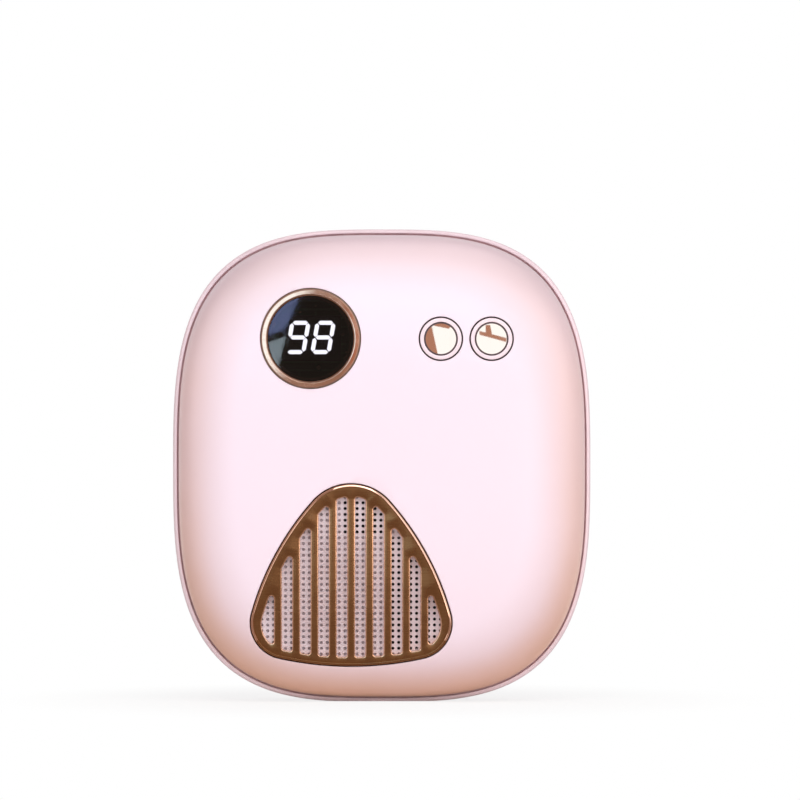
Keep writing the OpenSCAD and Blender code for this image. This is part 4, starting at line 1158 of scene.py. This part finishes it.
def floor():
    """Pale floor that holds the object's shadow and is white to the camera further out."""
    material = node_material("white_floor")
    tree = material.node_tree
    shader = tree.nodes["Principled BSDF"]
    shader.inputs["Base Color"].default_value = (*FLOOR_COLOUR, 1)
    shader.inputs["Roughness"].default_value = 0.9
    where, seen, shiny, camera_rays = surroundings(tree, "Object", FADE_ON_FLOOR)
    reach = tree.nodes.new("ShaderNodeVectorMath")
    reach.operation = "LENGTH"
    tree.links.new(where, reach.inputs[0])
    near = range_node(tree, reach.outputs["Value"], *FADE_ROUND_OBJECT)
    far = maths_node(tree, "MULTIPLY", camera_rays, near)
    paper = blended(tree, far, shader.outputs[0], glow(tree, WHITE))
    surface = tree.nodes["Material Output"].inputs["Surface"]
    tree.links.new(blended(tree, shiny, paper, seen), surface)
    bm = bmesh.new()
    bmesh.ops.create_grid(bm, x_segments=2, y_segments=2, size=FLOOR_HALF)
    staged(bm, "floor", material)


def room():
    """White round the object to the camera, and soft light from all sides."""
    world = bpy.data.worlds.new("studio")
    bpy.context.scene.world = world
    world.use_nodes = True
    tree = world.node_tree
    soft = tree.nodes["Background"]
    soft.inputs["Color"].default_value = (*SOFT_LIGHT, 1)
    soft.inputs["Strength"].default_value = SOFT_STRENGTH
    white = tree.nodes.new("ShaderNodeBackground")
    white.inputs["Color"].default_value = (*WHITE, 1)
    _, seen, shiny, camera_rays = surroundings(tree, "Generated", FADE_IN_ROOM)
    paper = blended(tree, camera_rays, soft.outputs[0], white.outputs[0])
    tree.links.new(blended(tree, shiny, paper, seen), tree.nodes["World Output"].inputs["Surface"])


def card(name, corners, colour, layer=0):
    """Flat card before the object that only metal and glass mirror. Higher layers cover lower ones."""
    material = node_material(name)
    tree = material.node_tree
    tree.links.new(glow(tree, colour), tree.nodes["Material Output"].inputs["Surface"])
    bm = bmesh.new()
    bm.faces.new([bm.verts.new((x, layer * CARD_STEP - CARD_DISTANCE, z)) for x, z in corners])
    plate = staged(bm, name, material)
    plate.visible_camera = False
    plate.visible_diffuse = False
    plate.visible_shadow = False


def softbox(name, place, width, height, brightness):
    """Rectangular lamp that faces the middle of the object."""
    data = bpy.data.lights.new(name, "AREA")
    data.shape = "RECTANGLE"
    data.size = width
    data.size_y = height
    data.energy = brightness * math.pi * width * height
    lamp = placed(name, data)
    lamp.location = place
    lamp.rotation_euler = (MIDDLE - Vector(place)).to_track_quat("-Z", "Y").to_euler()


def camera():
    """Long lens at the photograph's angle, shifted to its framing."""
    data = bpy.data.cameras.new("camera")
    data.sensor_width = SENSOR_WIDTH
    data.lens = SENSOR_WIDTH * CAMERA_DISTANCE / FRAME_WIDTH
    data.shift_x = (IMAGE_SIZE / 2 - OBJECT_PIXEL[0]) / IMAGE_SIZE
    data.shift_y = (OBJECT_PIXEL[1] - IMAGE_SIZE / 2) / IMAGE_SIZE
    data.clip_end = 20
    view = placed("camera", data)
    level = math.cos(CAMERA_RISE)
    away = Vector((math.sin(CAMERA_AZIMUTH) * level, -math.cos(CAMERA_AZIMUTH) * level,
                   math.sin(CAMERA_RISE)))
    view.location = MIDDLE + CAMERA_DISTANCE * away
    view.rotation_euler = (-away).to_track_quat("-Z", "Y").to_euler()
    bpy.context.scene.camera = view


floor()
room()
softbox("top_softbox", (0.1, -0.55, 1.0), 1.0, 0.8, 2.2)
softbox("left_softbox", (-1.0, -0.9, 0.35), 0.7, 0.9, 1.2)
softbox("right_softbox", (0.9, -1.0, 0.4), 0.7, 0.9, 2.0)
card("white_card", [(0.077, 0), (0.4, 0), (0.4, 0.6), (-0.05, 0.6)], WHITE_CARD)
card("brown_card", [(0.012, 0.05), (0.09, 0.05), (0.09, 0.3), (0.012, 0.3)], BROWN_CARD, -1)
card("brown_wedge", [(0.038, 0.216), (0.083, 0.207), (0.088, 0.213), (0.06, 0.24), (0.03, 0.24)],
     BROWN_CARD, 1)
card("brown_strip", [(0.1365, 0.219), (0.137, 0.207), (0.2185, 0.186), (0.2195, 0.198)], BROWN_CARD, 1)
card("brown_branch", [(0.156, 0.237), (0.1555, 0.211), (0.176, 0.204), (0.170, 0.2375)], BROWN_CARD, 1)
card("cream_card", [(-0.159, 0.02), (-0.6, 0.02), (-0.6, 0.4), (-0.014, 0.4)], CREAM_CARD, -1)
card("peach_card", [(0.65, 0), (2.2, 0), (2.2, 0.3), (0.65, 0.3)], PEACH_CARD)
card("upper_pane", [(-0.0676, 0.1728), (-0.052, 0.203), (-0.09, 0.203), (-0.09, 0.1643)], UPPER_PANE)
card("lower_pane", [(-0.0671, 0.1696), (-0.09, 0.1596), (-0.09, 0.135), (-0.0762, 0.135)], LOWER_PANE)
camera()
bpy.context.scene.view_settings.view_transform = "Standard"
